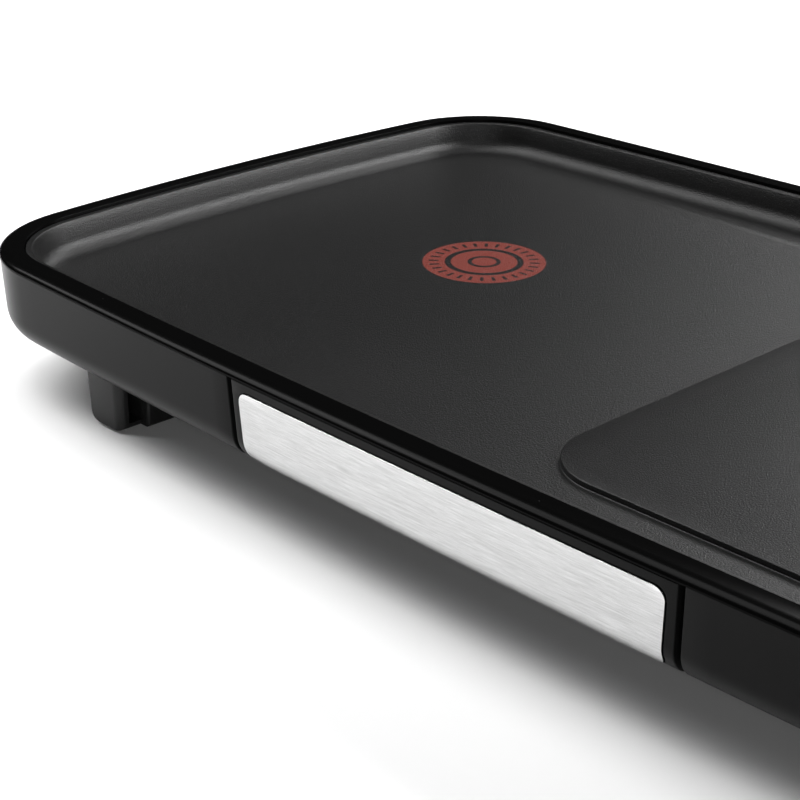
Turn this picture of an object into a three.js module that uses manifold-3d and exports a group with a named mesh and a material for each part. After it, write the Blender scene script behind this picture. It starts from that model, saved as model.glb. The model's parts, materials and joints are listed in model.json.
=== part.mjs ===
// Electric griddle: a bowed plastic housing with a glossy rim, a lift-off cast plate with one raised half,
// a heating element on a reflector, a thermostat with a side knob, and a drip tray with a steel-faced front.
// Millimetres, +Z up, origin on the floor under the centre. The long front with the steel panel faces -Y.
import * as THREE from 'three';
import { mergeVertices } from 'three/addons/utils/BufferGeometryUtils.js';
import Module from 'manifold-3d';

const wasm = await Module();
wasm.setup();

// ---- driving dimensions -------------------------------------------------------------------------
const WIDTH = 542;            // across the crowns of the two ends
const DEPTH = 299;            // across the crowns of the two long sides
const CORNER_RADIUS = 50;
const END_BOW_RADIUS = 1250;  // each end is a shallow arc
const LONG_BOW_RADIUS = 6250; // each long side is a shallower one

const RIM_TOP = 56;
const RIM_WIDTH = 9.6;
const RIM_HEIGHT = 2.2;
const RIM_ROUND_WIDTH = 4.3;
const LEDGE_TOP = 52.4;
const LEDGE_INSET = 11.4;

const WALL_TOP = 53.5;
const WALL_BOTTOM = 22.4;
const WALL_DRAFT = 1;
const WALL_ROUND = 11;
const WALL_THICKNESS = 2.2;
const WALL_INSET = 0.3;
const RETURN_INSET = 26;

const PLATE_LIP_TOP = 54.8;
const COOK_TOP = 42.3;
const PLATE_BOTTOM = 38.9;
const ZONE_STEP = 2;
const ZONE_LEFT = 0.9;
const ZONE_RIGHT = WIDTH / 2 - 24;
const ZONE_FRONT = -108.5;
const ZONE_RADIUS = 25;
const DRAIN = { x: 45, y: 113, length: 38, width: 7 };

const PANEL_GAP = 2.3;
const OPENING_HALF = 92.9;
const PANEL_HALF = OPENING_HALF - PANEL_GAP;
const PANEL_TAPER = 1.3;
const STEEL_HALF = 87;
const STEEL_TOP = 49.9;
const STEEL_CURVE = 48 * Math.PI / 180;
const STEEL_THICKNESS = 1.1;

const COVER_FLOOR = 17.6;
const COVER_THICKNESS = 2;
const COVER_FLANGE_TOP = 22.1;

const TRAY = {
  half: 82,
  front: -130.6,
  back: 120,
  bottom: 20.4,
  top: 28.6,
  wall: 1.6,
  flange: 3,
  radius: 10,
};
const RAIL = { front: -118, back: 116, web: 1.8 };

const REFLECTOR_BOTTOM = 30.6;
const REFLECTOR_THICKNESS = 0.7;
const ELEMENT_RADIUS = 3.3;
const ELEMENT_Z = PLATE_BOTTOM - 0.2 - ELEMENT_RADIUS;

const FOOT = { left: 175, right: 194, front: 135, back: 95, bottom: 1.2, taper: 1.5, heel: 4 };
const KNOB = { y: -70, z: 35, radius: 12, length: 12, start: 271.8 };
const LAMP = { y: -34, z: 41, radius: 3 };
const GLAND = { y: 84, z: 38, radius: 8 };
const SCREW_RADIUS = 1.5;

// ---- finishes -----------------------------------------------------------------------------------
const finish = (color, roughness, metalness) => ({ color, roughness, metalness });
const SATIN_BLACK = finish(0x242424, 0.5, 0);
const GLOSS_BLACK = finish(0x050505, 0.12, 0);
const NON_STICK = finish(0x2b2b2b, 0.6, 0.1);
const BRUSHED_STEEL = finish(0xc9c9c7, 0.32, 1);
const TRAY_BLACK = finish(0x1c1c1c, 0.55, 0);
const SHEET_METAL = finish(0xb4b6b8, 0.4, 1);
const ELEMENT_METAL = finish(0x6d6a66, 0.45, 1);
const ZINC = finish(0xa9abad, 0.35, 1);
const CERAMIC = finish(0xe6e0d2, 0.6, 0);
const RUBBER = finish(0x1a1a1a, 0.85, 0);
const PALE_PLASTIC = finish(0xd8d4c8, 0.55, 0);
const LAMP_RED = finish(0xa81c14, 0.2, 0);
const COPPER = finish(0xb06a3a, 0.35, 1);
const WIRE_BROWN = finish(0x5a3520, 0.6, 0);
const WIRE_BLUE = finish(0x2d4f93, 0.6, 0);
const WIRE_GREEN = finish(0x4f8a3a, 0.6, 0);

const griddle = new THREE.Group();
// The knob stands out on the right, so the whole is set over to centre its box on the origin.
griddle.position.x = -(KNOB.start + KNOB.length + 0.6 - WIDTH / 2) / 2;

function place(name, geometry, look) {
  const mesh = new THREE.Mesh(geometry, new THREE.MeshStandardMaterial(look));
  mesh.name = name;
  griddle.add(mesh);
  return mesh;
}

// ---- solid helpers ------------------------------------------------------------------------------
function toSolid(geometry) {
  const bare = geometry.clone();
  bare.deleteAttribute('normal');
  bare.deleteAttribute('uv');
  const merged = mergeVertices(bare, 1e-4);
  const vertProperties = new Float32Array(merged.attributes.position.array);
  const triVerts = new Uint32Array(merged.index.array);
  return new wasm.Manifold(new wasm.Mesh({ numProp: 3, vertProperties, triVerts }));
}

function toGeometry(solid) {
  const mesh = solid.getMesh();
  const geometry = new THREE.BufferGeometry();
  geometry.setAttribute('position', new THREE.BufferAttribute(mesh.vertProperties, 3));
  geometry.setIndex(new THREE.BufferAttribute(mesh.triVerts, 1));
  geometry.computeVertexNormals();
  return geometry;
}

// The base geometry with some geometries joined on and others cut away.
function carve(base, { add = [], cut = [], keep = [] }) {
  let solid = toSolid(base);
  for (const piece of add) solid = solid.add(toSolid(piece));
  for (const piece of keep) solid = solid.intersect(toSolid(piece));
  for (const piece of cut) solid = solid.subtract(toSolid(piece));
  return toGeometry(solid);
}

function box(x0, x1, y0, y1, z0, z1) {
  const geometry = new THREE.BoxGeometry(x1 - x0, y1 - y0, z1 - z0);
  return geometry.translate((x0 + x1) / 2, (y0 + y1) / 2, (z0 + z1) / 2);
}

function post(x, y, z0, z1, radius, sides = 12) {
  const geometry = new THREE.CylinderGeometry(radius, radius, z1 - z0, sides);
  return geometry.rotateX(Math.PI / 2).translate(x, y, (z0 + z1) / 2);
}

// A round bar along +X.
function bar(x0, x1, y, z, radius, sides = 16) {
  const geometry = new THREE.CylinderGeometry(radius, radius, x1 - x0, sides);
  return geometry.rotateZ(-Math.PI / 2).translate((x0 + x1) / 2, y, z);
}

// A body turned about +X from [distance along the axis, radius] points.
function turned(profile, x, y, z, sides = 24) {
  const points = profile.map(([along, radius]) => new THREE.Vector2(radius, along));
  return new THREE.LatheGeometry(points, sides).rotateZ(-Math.PI / 2).translate(x, y, z);
}

function roundedRectangle(x0, x1, y0, y1, radius) {
  const shape = new THREE.Shape();
  shape.moveTo(x0 + radius, y0);
  shape.lineTo(x1 - radius, y0);
  shape.absarc(x1 - radius, y0 + radius, radius, -Math.PI / 2, 0);
  shape.lineTo(x1, y1 - radius);
  shape.absarc(x1 - radius, y1 - radius, radius, 0, Math.PI / 2);
  shape.lineTo(x0 + radius, y1);
  shape.absarc(x0 + radius, y1 - radius, radius, Math.PI / 2, Math.PI);
  shape.lineTo(x0, y0 + radius);
  shape.absarc(x0 + radius, y0 + radius, radius, Math.PI, 1.5 * Math.PI);
  return shape;
}

function slab(shape, z0, z1, curveSegments = 4) {
  const geometry = new THREE.ExtrudeGeometry(shape, { depth: z1 - z0, bevelEnabled: false, curveSegments });
  return geometry.translate(0, 0, z0);
}

// A shape drawn in X and Z, run along Y.
function curtain(shape, y0, y1, curveSegments = 4) {
  const geometry = new THREE.ExtrudeGeometry(shape, { depth: y1 - y0, bevelEnabled: false, curveSegments });
  return geometry.rotateX(Math.PI / 2).translate(0, y1, 0);
}

function arcPoints(x, z, radiusX, radiusZ, from, to, steps) {
  return Array.from({ length: steps + 1 }, (_, i) => {
    const angle = from + (to - from) * i / steps;
    return [x + radiusX * Math.cos(angle), z + radiusZ * Math.sin(angle)];
  });
}

function tube(points, radius, segments, sides = 8) {
  const route = new THREE.CatmullRomCurve3(points.map((p) => new THREE.Vector3(...p)), false, 'centripetal');
  return tubeAlong(route, radius, segments, sides);
}

function tubeAlong(route, radius, segments, sides) {
  const ring = new THREE.Shape();
  for (let i = 0; i < sides; i += 1) {
    const angle = 2 * Math.PI * i / sides;
    const point = [radius * Math.cos(angle), radius * Math.sin(angle)];
    if (i === 0) ring.moveTo(...point);
    else ring.lineTo(...point);
  }
  return new THREE.ExtrudeGeometry(ring, { extrudePath: route, steps: segments, bevelEnabled: false });
}

// ---- the bowed outline --------------------------------------------------------------------------
// Four shallow arcs joined by four corner arcs that touch them smoothly.
function cornerCentre() {
  const end = new THREE.Vector2(WIDTH / 2 - END_BOW_RADIUS, 0);
  const long = new THREE.Vector2(0, DEPTH / 2 - LONG_BOW_RADIUS);
  const reachEnd = END_BOW_RADIUS - CORNER_RADIUS;
  const reachLong = LONG_BOW_RADIUS - CORNER_RADIUS;
  const apart = end.distanceTo(long);
  const along = (reachEnd ** 2 - reachLong ** 2 + apart ** 2) / (2 * apart);
  const across = Math.sqrt(reachEnd ** 2 - along ** 2);
  const unit = long.clone().sub(end).divideScalar(apart);
  const foot = end.clone().addScaledVector(unit, along);
  return new THREE.Vector2(foot.x - unit.y * across, foot.y + unit.x * across);
}

const CORNER = cornerCentre();
const END_ANGLE = Math.atan2(CORNER.y, CORNER.x - (WIDTH / 2 - END_BOW_RADIUS));
const LONG_ANGLE = Math.atan2(CORNER.y - (DEPTH / 2 - LONG_BOW_RADIUS), CORNER.x);

function quarterOutline(inset) {
  const arc = (x, y, radius, from, to, steps) => arcPoints(x, y, radius, radius, from, to, steps);
  return [
    ...arc(WIDTH / 2 - END_BOW_RADIUS, 0, END_BOW_RADIUS - inset, 0, END_ANGLE, 3).slice(0, -1),
    ...arc(CORNER.x, CORNER.y, CORNER_RADIUS - inset, END_ANGLE, LONG_ANGLE, 6).slice(0, -1),
    ...arc(0, DEPTH / 2 - LONG_BOW_RADIUS, LONG_BOW_RADIUS - inset, LONG_ANGLE, Math.PI / 2, 3),
  ];
}

function outlinePoints(inset) {
  const quarter = quarterOutline(inset);
  const mirrored = [...quarter].reverse().slice(1);
  const upper = [...quarter, ...mirrored.map(([x, y]) => [-x, y])];
  const lower = upper.slice(1, -1).map(([x, y]) => [-x, -y]);
  return [...upper, ...lower];
}

function frontY(x, inset) {
  const radius = LONG_BOW_RADIUS - inset;
  return -(DEPTH / 2 - LONG_BOW_RADIUS + Math.sqrt(radius ** 2 - x ** 2));
}

// Joins a list of rings of equal length into a skin. A closed skin runs from the last ring to the first, and
// an open one is capped at both ends.
function skin(rings, closed) {
  const count = rings[0].length;
  const positions = rings.flat();
  const index = [];
  const quad = (a, b, c, d) => index.push(a, b, c, a, c, d);
  const bands = closed ? rings.length : rings.length - 1;
  for (let r = 0; r < bands; r += 1) {
    const next = (r + 1) % rings.length;
    for (let i = 0; i < count; i += 1) {
      const j = (i + 1) % count;
      quad(r * count + i, r * count + j, next * count + j, next * count + i);
    }
  }
  if (!closed) {
    for (const [r, turn] of [[0, -1], [rings.length - 1, 1]]) {
      for (const [a, b, c] of capFaces(rings[r])) {
        const corners = turn > 0 ? [a, b, c] : [a, c, b];
        index.push(...corners.map((k) => r * count + k));
      }
    }
  }
  const geometry = new THREE.BufferGeometry().setFromPoints(positions);
  geometry.setIndex(index);
  return facingOut(geometry);
}

// Triangles over a flat ring, which lies in the X-Y plane or in a plane of constant X.
function capFaces(ring) {
  const upright = Math.abs(ring[0].x - ring[2].x) < 1e-9 && Math.abs(ring[1].x - ring[2].x) < 1e-9;
  const flat = ring.map((p) => (upright ? new THREE.Vector2(p.y, p.z) : new THREE.Vector2(p.x, p.y)));
  const faces = THREE.ShapeUtils.triangulateShape(flat, []);
  return THREE.ShapeUtils.isClockWise(flat) ? faces.map(([a, b, c]) => [a, c, b]) : faces;
}

function facingOut(geometry) {
  const p = geometry.attributes.position;
  const index = geometry.index.array;
  const corner = (k) => new THREE.Vector3().fromBufferAttribute(p, k);
  let volume = 0;
  for (let i = 0; i < index.length; i += 3) {
    volume += corner(index[i]).dot(corner(index[i + 1]).cross(corner(index[i + 2])));
  }
  if (volume < 0) {
    for (let i = 0; i < index.length; i += 3) [index[i], index[i + 1]] = [index[i + 1], index[i]];
  }
  geometry.computeVertexNormals();
  return geometry;
}

const ringAt = ([inset, z]) => outlinePoints(inset).map(([x, y]) => new THREE.Vector3(x, y, z));
const sweepRing = (profile) => skin(profile.map(ringAt), true);
const loft = (profile) => skin(profile.map(ringAt), false);

// A profile of [inset, z] points run along the front arc between two X positions.
function frontStrip(profile, half, steps = 6) {
  const rings = Array.from({ length: steps + 1 }, (_, i) => {
    const x = -half + 2 * half * i / steps;
    return profile.map(([inset, z]) => new THREE.Vector3(x, frontY(x, inset), z));
  });
  return skin(rings, false);
}

// The outer face of the wall, from a height down around the lower rounding by an angle, pushed in by depth.
function wallFace(top, depth, turn) {
  const straightTop = [WALL_INSET + WALL_DRAFT * (WALL_TOP - top) / 20 + depth, top];
  const centre = WALL_INSET + WALL_DRAFT + WALL_ROUND;
  const radius = WALL_ROUND - depth;
  const rounding = arcPoints(centre, WALL_BOTTOM + WALL_ROUND, radius, radius, Math.PI, Math.PI + turn, 4);
  return [straightTop, ...rounding];
}

// The tapered outline of the front panel in X and Z. side is the half width at the top.
function panelOutline(side, bottom, top, radius = 0) {
  const shape = new THREE.Shape();
  const low = side - PANEL_TAPER;
  if (radius === 0) {
    shape.moveTo(-low, bottom);
    shape.lineTo(low, bottom);
    shape.lineTo(side, top);
    shape.lineTo(-side, top);
    return shape;
  }
  shape.moveTo(-low + radius, bottom);
  shape.lineTo(low - radius, bottom);
  shape.quadraticCurveTo(low, bottom, low, bottom + radius);
  shape.lineTo(side, top - radius);
  shape.quadraticCurveTo(side, top, side - radius, top);
  shape.lineTo(-side + radius, top);
  shape.quadraticCurveTo(-side, top, -side, top - radius);
  shape.lineTo(-low, bottom + radius);
  shape.quadraticCurveTo(-low, bottom, -low + radius, bottom);
  return shape;
}

// ---- fastener places ----------------------------------------------------------------------------
const COVER_SCREWS = [[-120, -127.4], [120, -127.4], [-120, 127.4], [120, 127.4], [-249, 0], [249, 0]];
const FOOT_PLACES = [
  ['front_left', -1, -1],
  ['front_right', 1, -1],
  ['rear_left', -1, 1],
  ['rear_right', 1, 1],
];
const FOOT_SCREW = { x: 184.5, y: 113.6 };
const PAD = { x: 184.5, y: 102.8, radius: 5.4 };
const TRAY_SCREWS = [-45, 45];
const POSTS = [[-130, -62], [130, -62], [-130, 62], [130, 62]];

// ---- housing ------------------------------------------------------------------------------------
function housingShell() {
  const inner = arcPoints(12.3, WALL_BOTTOM + WALL_ROUND, 8.8, 8.8, 1.5 * Math.PI, Math.PI, 3);
  const profile = [
    ...wallFace(WALL_TOP, 0, Math.PI / 2),
    [RETURN_INSET, WALL_BOTTOM],
    [RETURN_INSET, WALL_BOTTOM + WALL_THICKNESS],
    ...inner,
    [2.9, WALL_TOP],
  ];
  const bosses = COVER_SCREWS.map(([x, y]) => post(x, y, WALL_BOTTOM + 0.5, 31, 4));
  const holes = COVER_SCREWS.map(([x, y]) => post(x, y, WALL_BOTTOM - 1, 32, SCREW_RADIUS + 0.25));
  const doorway = curtain(panelOutline(OPENING_HALF, WALL_BOTTOM - 1, WALL_TOP + 1), -170, -112);
  const outside = [
    bar(255, 280, KNOB.y, KNOB.z, 4.6),
    bar(255, 280, LAMP.y, LAMP.z, LAMP.radius + 0.3),
    bar(255, 280, GLAND.y, GLAND.z, 6.3),
  ];
  return carve(sweepRing(profile), { add: bosses, cut: [...holes, doorway, ...outside] });
}

function rimFrame() {
  const low = RIM_TOP - RIM_HEIGHT;
  const crease = arcPoints(RIM_ROUND_WIDTH, low, RIM_ROUND_WIDTH, RIM_HEIGHT, Math.PI, Math.PI / 2, 4);
  const profile = [
    [0, low],
    ...crease.slice(1),
    [RIM_WIDTH - 0.5, RIM_TOP],
    [RIM_WIDTH, RIM_TOP - 0.5],
    [RIM_WIDTH, LEDGE_TOP],
    [LEDGE_INSET, LEDGE_TOP],
    [LEDGE_INSET, LEDGE_TOP - 1.8],
    [6.4, LEDGE_TOP - 1.8],
    [6.4, 47.5],
    [4.6, 47.5],
    [4.6, low],
  ];
  return sweepRing(profile);
}

function baseCover() {
  const floor = COVER_FLOOR - COVER_THICKNESS;
  const flange = COVER_FLANGE_TOP - COVER_THICKNESS;
  const profile = [
    [30, floor],
    [27, floor + 0.8],
    [25.8, flange],
    [16.5, flange],
    [16, flange + 0.5],
    [16, COVER_FLANGE_TOP],
    [27.8, COVER_FLANGE_TOP],
    [28.6, COVER_FLOOR + 0.8],
    [31, COVER_FLOOR],
  ];
  const footBoss = ([, sx, sy]) => post(sx * FOOT_SCREW.x, sy * FOOT_SCREW.y, COVER_FLOOR - 1, 25, 4);
  const bosses = FOOT_PLACES.map(footBoss);
  const cut = COVER_SCREWS.map(([x, y]) => post(x, y, flange - 1, COVER_FLANGE_TOP + 1, SCREW_RADIUS + 0.3));
  for (const [, sx, sy] of FOOT_PLACES) {
    cut.push(post(sx * FOOT_SCREW.x, sy * FOOT_SCREW.y, floor - 1, 23.5, SCREW_RADIUS + 0.25));
  }
  cut.push(box(-94, 94, -170, -120.2, COVER_FLOOR, 30));
  cut.push(box(-94, 94, -170, -122.6, 10, 30));
  for (const side of [-1, 1]) {
    for (let row = -2; row <= 2; row += 1) {
      const middle = side * 205;
      cut.push(box(middle - 21, middle + 21, row * 14 - 2.2, row * 14 + 2.2, floor - 1, COVER_FLOOR + 1));
    }
  }
  return carve(loft(profile), { add: bosses, cut });
}

// ---- cooking plate ------------------------------------------------------------------------------
const PLATE_PROFILE = [
  [25, PLATE_BOTTOM],
  [17.6, 40.2],
  [13.2, 44.2],
  [11.9, 47.5],
  [11.7, 52.7],
  [10.1, 52.7],
  [10.1, PLATE_LIP_TOP - 0.4],
  [10.5, PLATE_LIP_TOP],
  [12.2, PLATE_LIP_TOP],
  [12.9, PLATE_LIP_TOP - 0.6],
  [14.2, 48.6],
  ...arcPoints(20.8, COOK_TOP + 6.3, 6.6, 6.3, Math.PI, 1.5 * Math.PI, 4).slice(1),
];

function drainShape(grow) {
  const { x, y, length, width } = DRAIN;
  const halfLength = length / 2 + grow;
  const halfWidth = width / 2 + grow;
  return roundedRectangle(x - halfLength, x + halfLength, y - halfWidth, y + halfWidth, halfWidth - 0.1);
}

function cookingPlate() {
  const zoneShape = roundedRectangle(ZONE_LEFT, ZONE_RIGHT, ZONE_FRONT, -ZONE_FRONT, ZONE_RADIUS);
  const zone = slab(zoneShape, COOK_TOP - 1, COOK_TOP + ZONE_STEP, 6);
  const drain = slab(drainShape(0), PLATE_BOTTOM - 2, COOK_TOP + 6, 5);
  return carve(loft(PLATE_PROFILE), { add: [zone], cut: [drain] });
}

// ---- heating ------------------------------------------------------------------------------------
// A route of straight runs whose corners are rounded in plan.
function roundedRoute(points, radius, z) {
  const route = new THREE.CurvePath();
  const corners = points.map(([x, y]) => new THREE.Vector3(x, y, z));
  let start = corners[0];
  for (let i = 1; i < corners.length - 1; i += 1) {
    const before = corners[i].clone().add(corners[i - 1].clone().sub(corners[i]).setLength(radius));
    const after = corners[i].clone().add(corners[i + 1].clone().sub(corners[i]).setLength(radius));
    route.add(new THREE.LineCurve3(start, before));
    route.add(new THREE.QuadraticBezierCurve3(before, corners[i], after));
    start = after;
  }
  route.add(new THREE.LineCurve3(start, corners[corners.length - 1]));
  return route;
}

const CAPILLARY_HOLE = { x: 191, y: -3 };
const ELEMENT_RUNS = [
  [231, 22], [200, 22], [200, 94], [-206, 94], [-206, 34], [128, 34],
  [128, -34], [-206, -34], [-206, -94], [200, -94], [200, -22], [231, -22],
];

function heatingElement() {
  return tubeAlong(roundedRoute(ELEMENT_RUNS, 20, ELEMENT_Z), ELEMENT_RADIUS, 110, 8);
}

function heatReflector() {
  const top = REFLECTOR_BOTTOM + REFLECTOR_THICKNESS;
  const profile = [
    [37.5, REFLECTOR_BOTTOM],
    [34, 34.2],
    [34, 34.9],
    [34.7, 34.9],
    [38.2, top],
  ];
  const cut = POSTS.map(([x, y]) => post(x, y, REFLECTOR_BOTTOM - 1, top + 1, SCREW_RADIUS + 0.3));
  cut.push(slab(drainShape(1.5), REFLECTOR_BOTTOM - 1, 40, 5));
  cut.push(box(226, 245, -30, 30, top, 40));
  cut.push(post(CAPILLARY_HOLE.x, CAPILLARY_HOLE.y, REFLECTOR_BOTTOM - 1, top + 1, 2.8));
  return carve(loft(profile), { cut });
}

function elementSupport(x, y) {
  const low = REFLECTOR_BOTTOM + REFLECTOR_THICKNESS + 0.1;
  const block = box(x - 6, x + 6, y - 7, y + 7, low, ELEMENT_Z + 1.8);
  return carve(block, { cut: [bar(x - 8, x + 8, y, ELEMENT_Z, ELEMENT_RADIUS + 0.35, 20)] });
}

function elementTerminal(y) {
  const bush = [[0, 0], [0, ELEMENT_RADIUS], [8, ELEMENT_RADIUS], [9, 2.4], [9, 1], [14, 1], [14, 0]];
  return turned(bush, 231.3, y, ELEMENT_Z, 14);
}

// ---- drip tray ----------------------------------------------------------------------------------
function dripTray() {
  const { half, front, back, bottom, top, wall, flange, radius } = TRAY;
  const body = slab(roundedRectangle(-half, half, front, back, radius), bottom, top);
  const hollow = slab(
    roundedRectangle(-half + wall, half - wall, front + wall, back - wall, radius - wall),
    bottom + wall, top + 1,
  );
  const edge = slab(
    roundedRectangle(-half - flange, half + flange, front, back + flange, radius + flange / 2),
    top - 1.4, top,
  );
  const holes = TRAY_SCREWS.map((x) => post(x, TRAY.front + 8, top - 3, top + 1, SCREW_RADIUS + 0.3));
  const shelf = box(-60, 60, front + 1, front + 13, top - 1.4, top);
  const carved = carve(body, { add: [edge], cut: [hollow] });
  return carve(carved, { add: [shelf], cut: holes });
}

function drawerFront() {
  const inner = arcPoints(12.3, WALL_BOTTOM + WALL_ROUND, 7.6, 7.6, 1.5 * Math.PI, Math.PI, 3);
  const profile = [
    ...wallFace(WALL_TOP - 0.3, 0, Math.PI / 2),
    [18, WALL_BOTTOM],
    [18, WALL_BOTTOM + 3.4],
    ...inner,
    [4, WALL_TOP - 0.3],
  ];
  const panel = curtain(panelOutline(PANEL_HALF, WALL_BOTTOM - 1, WALL_TOP), -170, -112);
  const recessFace = wallFace(STEEL_TOP + 0.9, 1.35, STEEL_CURVE + 0.05);
  const recessFront = wallFace(STEEL_TOP + 0.9, -3, STEEL_CURVE + 0.05).reverse();
  const recess = carve(frontStrip([...recessFace, ...recessFront], STEEL_HALF + 4), {
    keep: [curtain(panelOutline(STEEL_HALF + 0.5, 24.6, STEEL_TOP + 0.5, 4.5), -170, -112)],
  });
  const shelf = box(-62, 62, -146, TRAY.front + 13, TRAY.top + 0.1, TRAY.top + 2.6);
  const shelfEdge = frontStrip([[4.2, 20], [4.2, 40], [60, 40], [60, 20]], 70);
  const bore = SCREW_RADIUS + 0.25;
  const holes = TRAY_SCREWS.map((x) => post(x, TRAY.front + 8, TRAY.top - 1, TRAY.top + 2.2, bore));
  const skinPiece = carve(frontStrip(profile, OPENING_HALF), { keep: [panel], cut: [recess] });
  const shelfPiece = carve(shelf, { keep: [shelfEdge] });
  return carve(skinPiece, { add: [shelfPiece], cut: holes });
}

function steelInsert() {
  const back = wallFace(STEEL_TOP, STEEL_THICKNESS - 0.15, STEEL_CURVE);
  const front = wallFace(STEEL_TOP, -0.15, STEEL_CURVE).reverse();
  const outline = curtain(panelOutline(STEEL_HALF, 25.1, STEEL_TOP, 4), -170, -112);
  return carve(frontStrip([...back, ...front], STEEL_HALF + 2), { keep: [outline] });
}

function trayRail(side) {
  const inner = TRAY.half + TRAY.flange + 0.7;
  const lip = TRAY.half + 0.9;
  const low = COVER_FLOOR + 0.05;
  const high = TRAY.top + 1.7;
  const shape = new THREE.Shape();
  const corners = [
    [inner, low], [inner + RAIL.web, low], [inner + RAIL.web, high], [lip, high], [lip, high - 1.2],
    [inner, high - 1.2], [inner, TRAY.top - 1.9], [lip, TRAY.top - 1.9], [lip, TRAY.top - 3.1],
    [inner, TRAY.top - 3.1],
  ];
  corners.forEach(([x, z], i) => (i === 0 ? shape.moveTo(side * x, z) : shape.lineTo(side * x, z)));
  return curtain(shape, RAIL.front, RAIL.back);
}

// ---- feet ---------------------------------------------------------------------------------------
function footShape() {
  const top = WALL_BOTTOM - 0.1;
  const { left, right, front, back, bottom, taper, heel } = FOOT;
  const face = (side) => {
    const shape = new THREE.Shape();
    shape.moveTo(side, top);
    shape.lineTo(side, bottom);
    shape.lineTo(right - taper - 4, bottom);
    shape.quadraticCurveTo(right - taper, bottom, right - taper * 0.8, bottom + 4);
    shape.lineTo(right, top);
    return shape;
  };
  const plan = new THREE.Shape();
  plan.moveTo(left, -back);
  plan.lineTo(left, -front + 4);
  plan.quadraticCurveTo(left, -front, left + 4, -front);
  plan.lineTo(right, -front);
  plan.lineTo(right, -back);
  const block = carve(curtain(face(left), -front, -back, 3), { keep: [slab(plan, 0, 40)] });
  const heelBlock = curtain(face(left - heel), -front + 10.2, -back, 3);
  const pocket = box(left - heel - 2, left + 9, -front + 4.2, -front + 10.2, bottom + 2.4, top - 4);
  const padSeat = post(PAD.x, -PAD.y, bottom - 1, bottom + 1, PAD.radius + 0.2, 20);
  const screwWell = post(FOOT_SCREW.x, -FOOT_SCREW.y, bottom - 1, 9.1, 3.7, 20);
  const screwHole = post(FOOT_SCREW.x, -FOOT_SCREW.y, 8, 30, SCREW_RADIUS + 0.3, 16);
  const underside = COVER_FLOOR - COVER_THICKNESS - 0.2;
  const cover = loft([[29.8, underside], [26.8, 16.2], [25.5, 19.9], [15.8, 19.9], [15.8, 30]]);
  return carve(block, { add: [heelBlock], cut: [pocket, padSeat, screwWell, screwHole, cover] });
}

// The same indexed solid on another side of the centre planes, still facing out.
function mirror(geometry, sx, sy) {
  const copy = geometry.clone().scale(sx, sy, 1);
  const index = copy.index.array;
  if (sx * sy < 0) {
    for (let i = 0; i < index.length; i += 3) [index[i], index[i + 1]] = [index[i + 1], index[i]];
  }
  copy.computeVertexNormals();
  return copy;
}

// ---- screws, control and wiring -----------------------------------------------------------------
function screw(x, y, headLow, tip, headRadius = 3) {
  const profile = [
    [0, headLow], [headRadius, headLow + 0.5], [headRadius, headLow + 1.8], [SCREW_RADIUS, headLow + 1.8],
    [SCREW_RADIUS, tip - 1.5], [0, tip],
  ];
  const points = profile.map(([radius, z]) => new THREE.Vector2(radius, z));
  return new THREE.LatheGeometry(points, 10).rotateX(Math.PI / 2).translate(x, y, 0);
}

function knobBody() {
  const { radius, length, start, y, z } = KNOB;
  const profile = [
    [0, 0], [0, radius - 0.6], [0.6, radius], [2.4, radius], [3, radius - 1.6], [length - 1.4, radius - 2.6],
    [length, radius - 3.8], [length, 0],
  ];
  const grip = box(start + 4, start + length + 0.6, y - 1.6, y + 1.6, z - 7.6, z + 9);
  const shaftHole = bar(start - 1, start + 9, y, z, 3.2, 20);
  return carve(turned(profile, start, y, z), { add: [grip], cut: [shaftHole] });
}

function thermostatBody() {
  const { y, z } = KNOB;
  const body = box(236, 257, y - 14, y + 14, 25.4, 37.9);
  return carve(body, { add: [bar(256, 270.6, y, z, 4.1, 20)], cut: [bar(250, 275, y, z, 3.3, 20)] });
}

function lampLens() {
  const collar = LAMP.radius + 0.9;
  const profile = [[-4, 0], [-4, 2.4], [2.2, 2.4], [2.2, collar], [3, collar], [3.8, 2.6], [4.2, 0]];
  return turned(profile, 268.2, LAMP.y, LAMP.z, 20);
}

function cordGland() {
  const profile = [
    [-4, 4], [-4, 6], [2.4, 6], [2.4, GLAND.radius], [4.4, GLAND.radius], [5.6, 6.4], [5.6, 4], [-4, 4],
  ];
  return turned(profile, 268, GLAND.y, GLAND.z, 28);
}

function terminalBlock() {
  const ports = [-9, 0, 9].map((step) => bar(215, 244, 70 + step, 26.8, 2.2, 8));
  return carve(box(220, 240, 55, 85, 23.2, 30), { cut: ports });
}

// ---- assembly -----------------------------------------------------------------------------------
place('housing_shell', housingShell(), SATIN_BLACK);
place('rim_frame', rimFrame(), GLOSS_BLACK);
place('base_cover', baseCover(), SATIN_BLACK);
place('cooking_plate', cookingPlate(), NON_STICK);

place('heating_element', heatingElement(), ELEMENT_METAL);
place('heat_reflector', heatReflector(), SHEET_METAL);
for (const [name, sx, sy] of FOOT_PLACES) {
  place(`element_support_${name}`, elementSupport(-5 + 145 * sx, 94 * sy), ZINC);
}
place('element_terminal_front', elementTerminal(-22), CERAMIC);
place('element_terminal_rear', elementTerminal(22), CERAMIC);
POSTS.forEach(([x, y], i) => {
  place(`reflector_post_${i + 1}`, post(x, y, COVER_FLOOR + 0.05, REFLECTOR_BOTTOM - 0.05, 4), CERAMIC);
});

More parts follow.
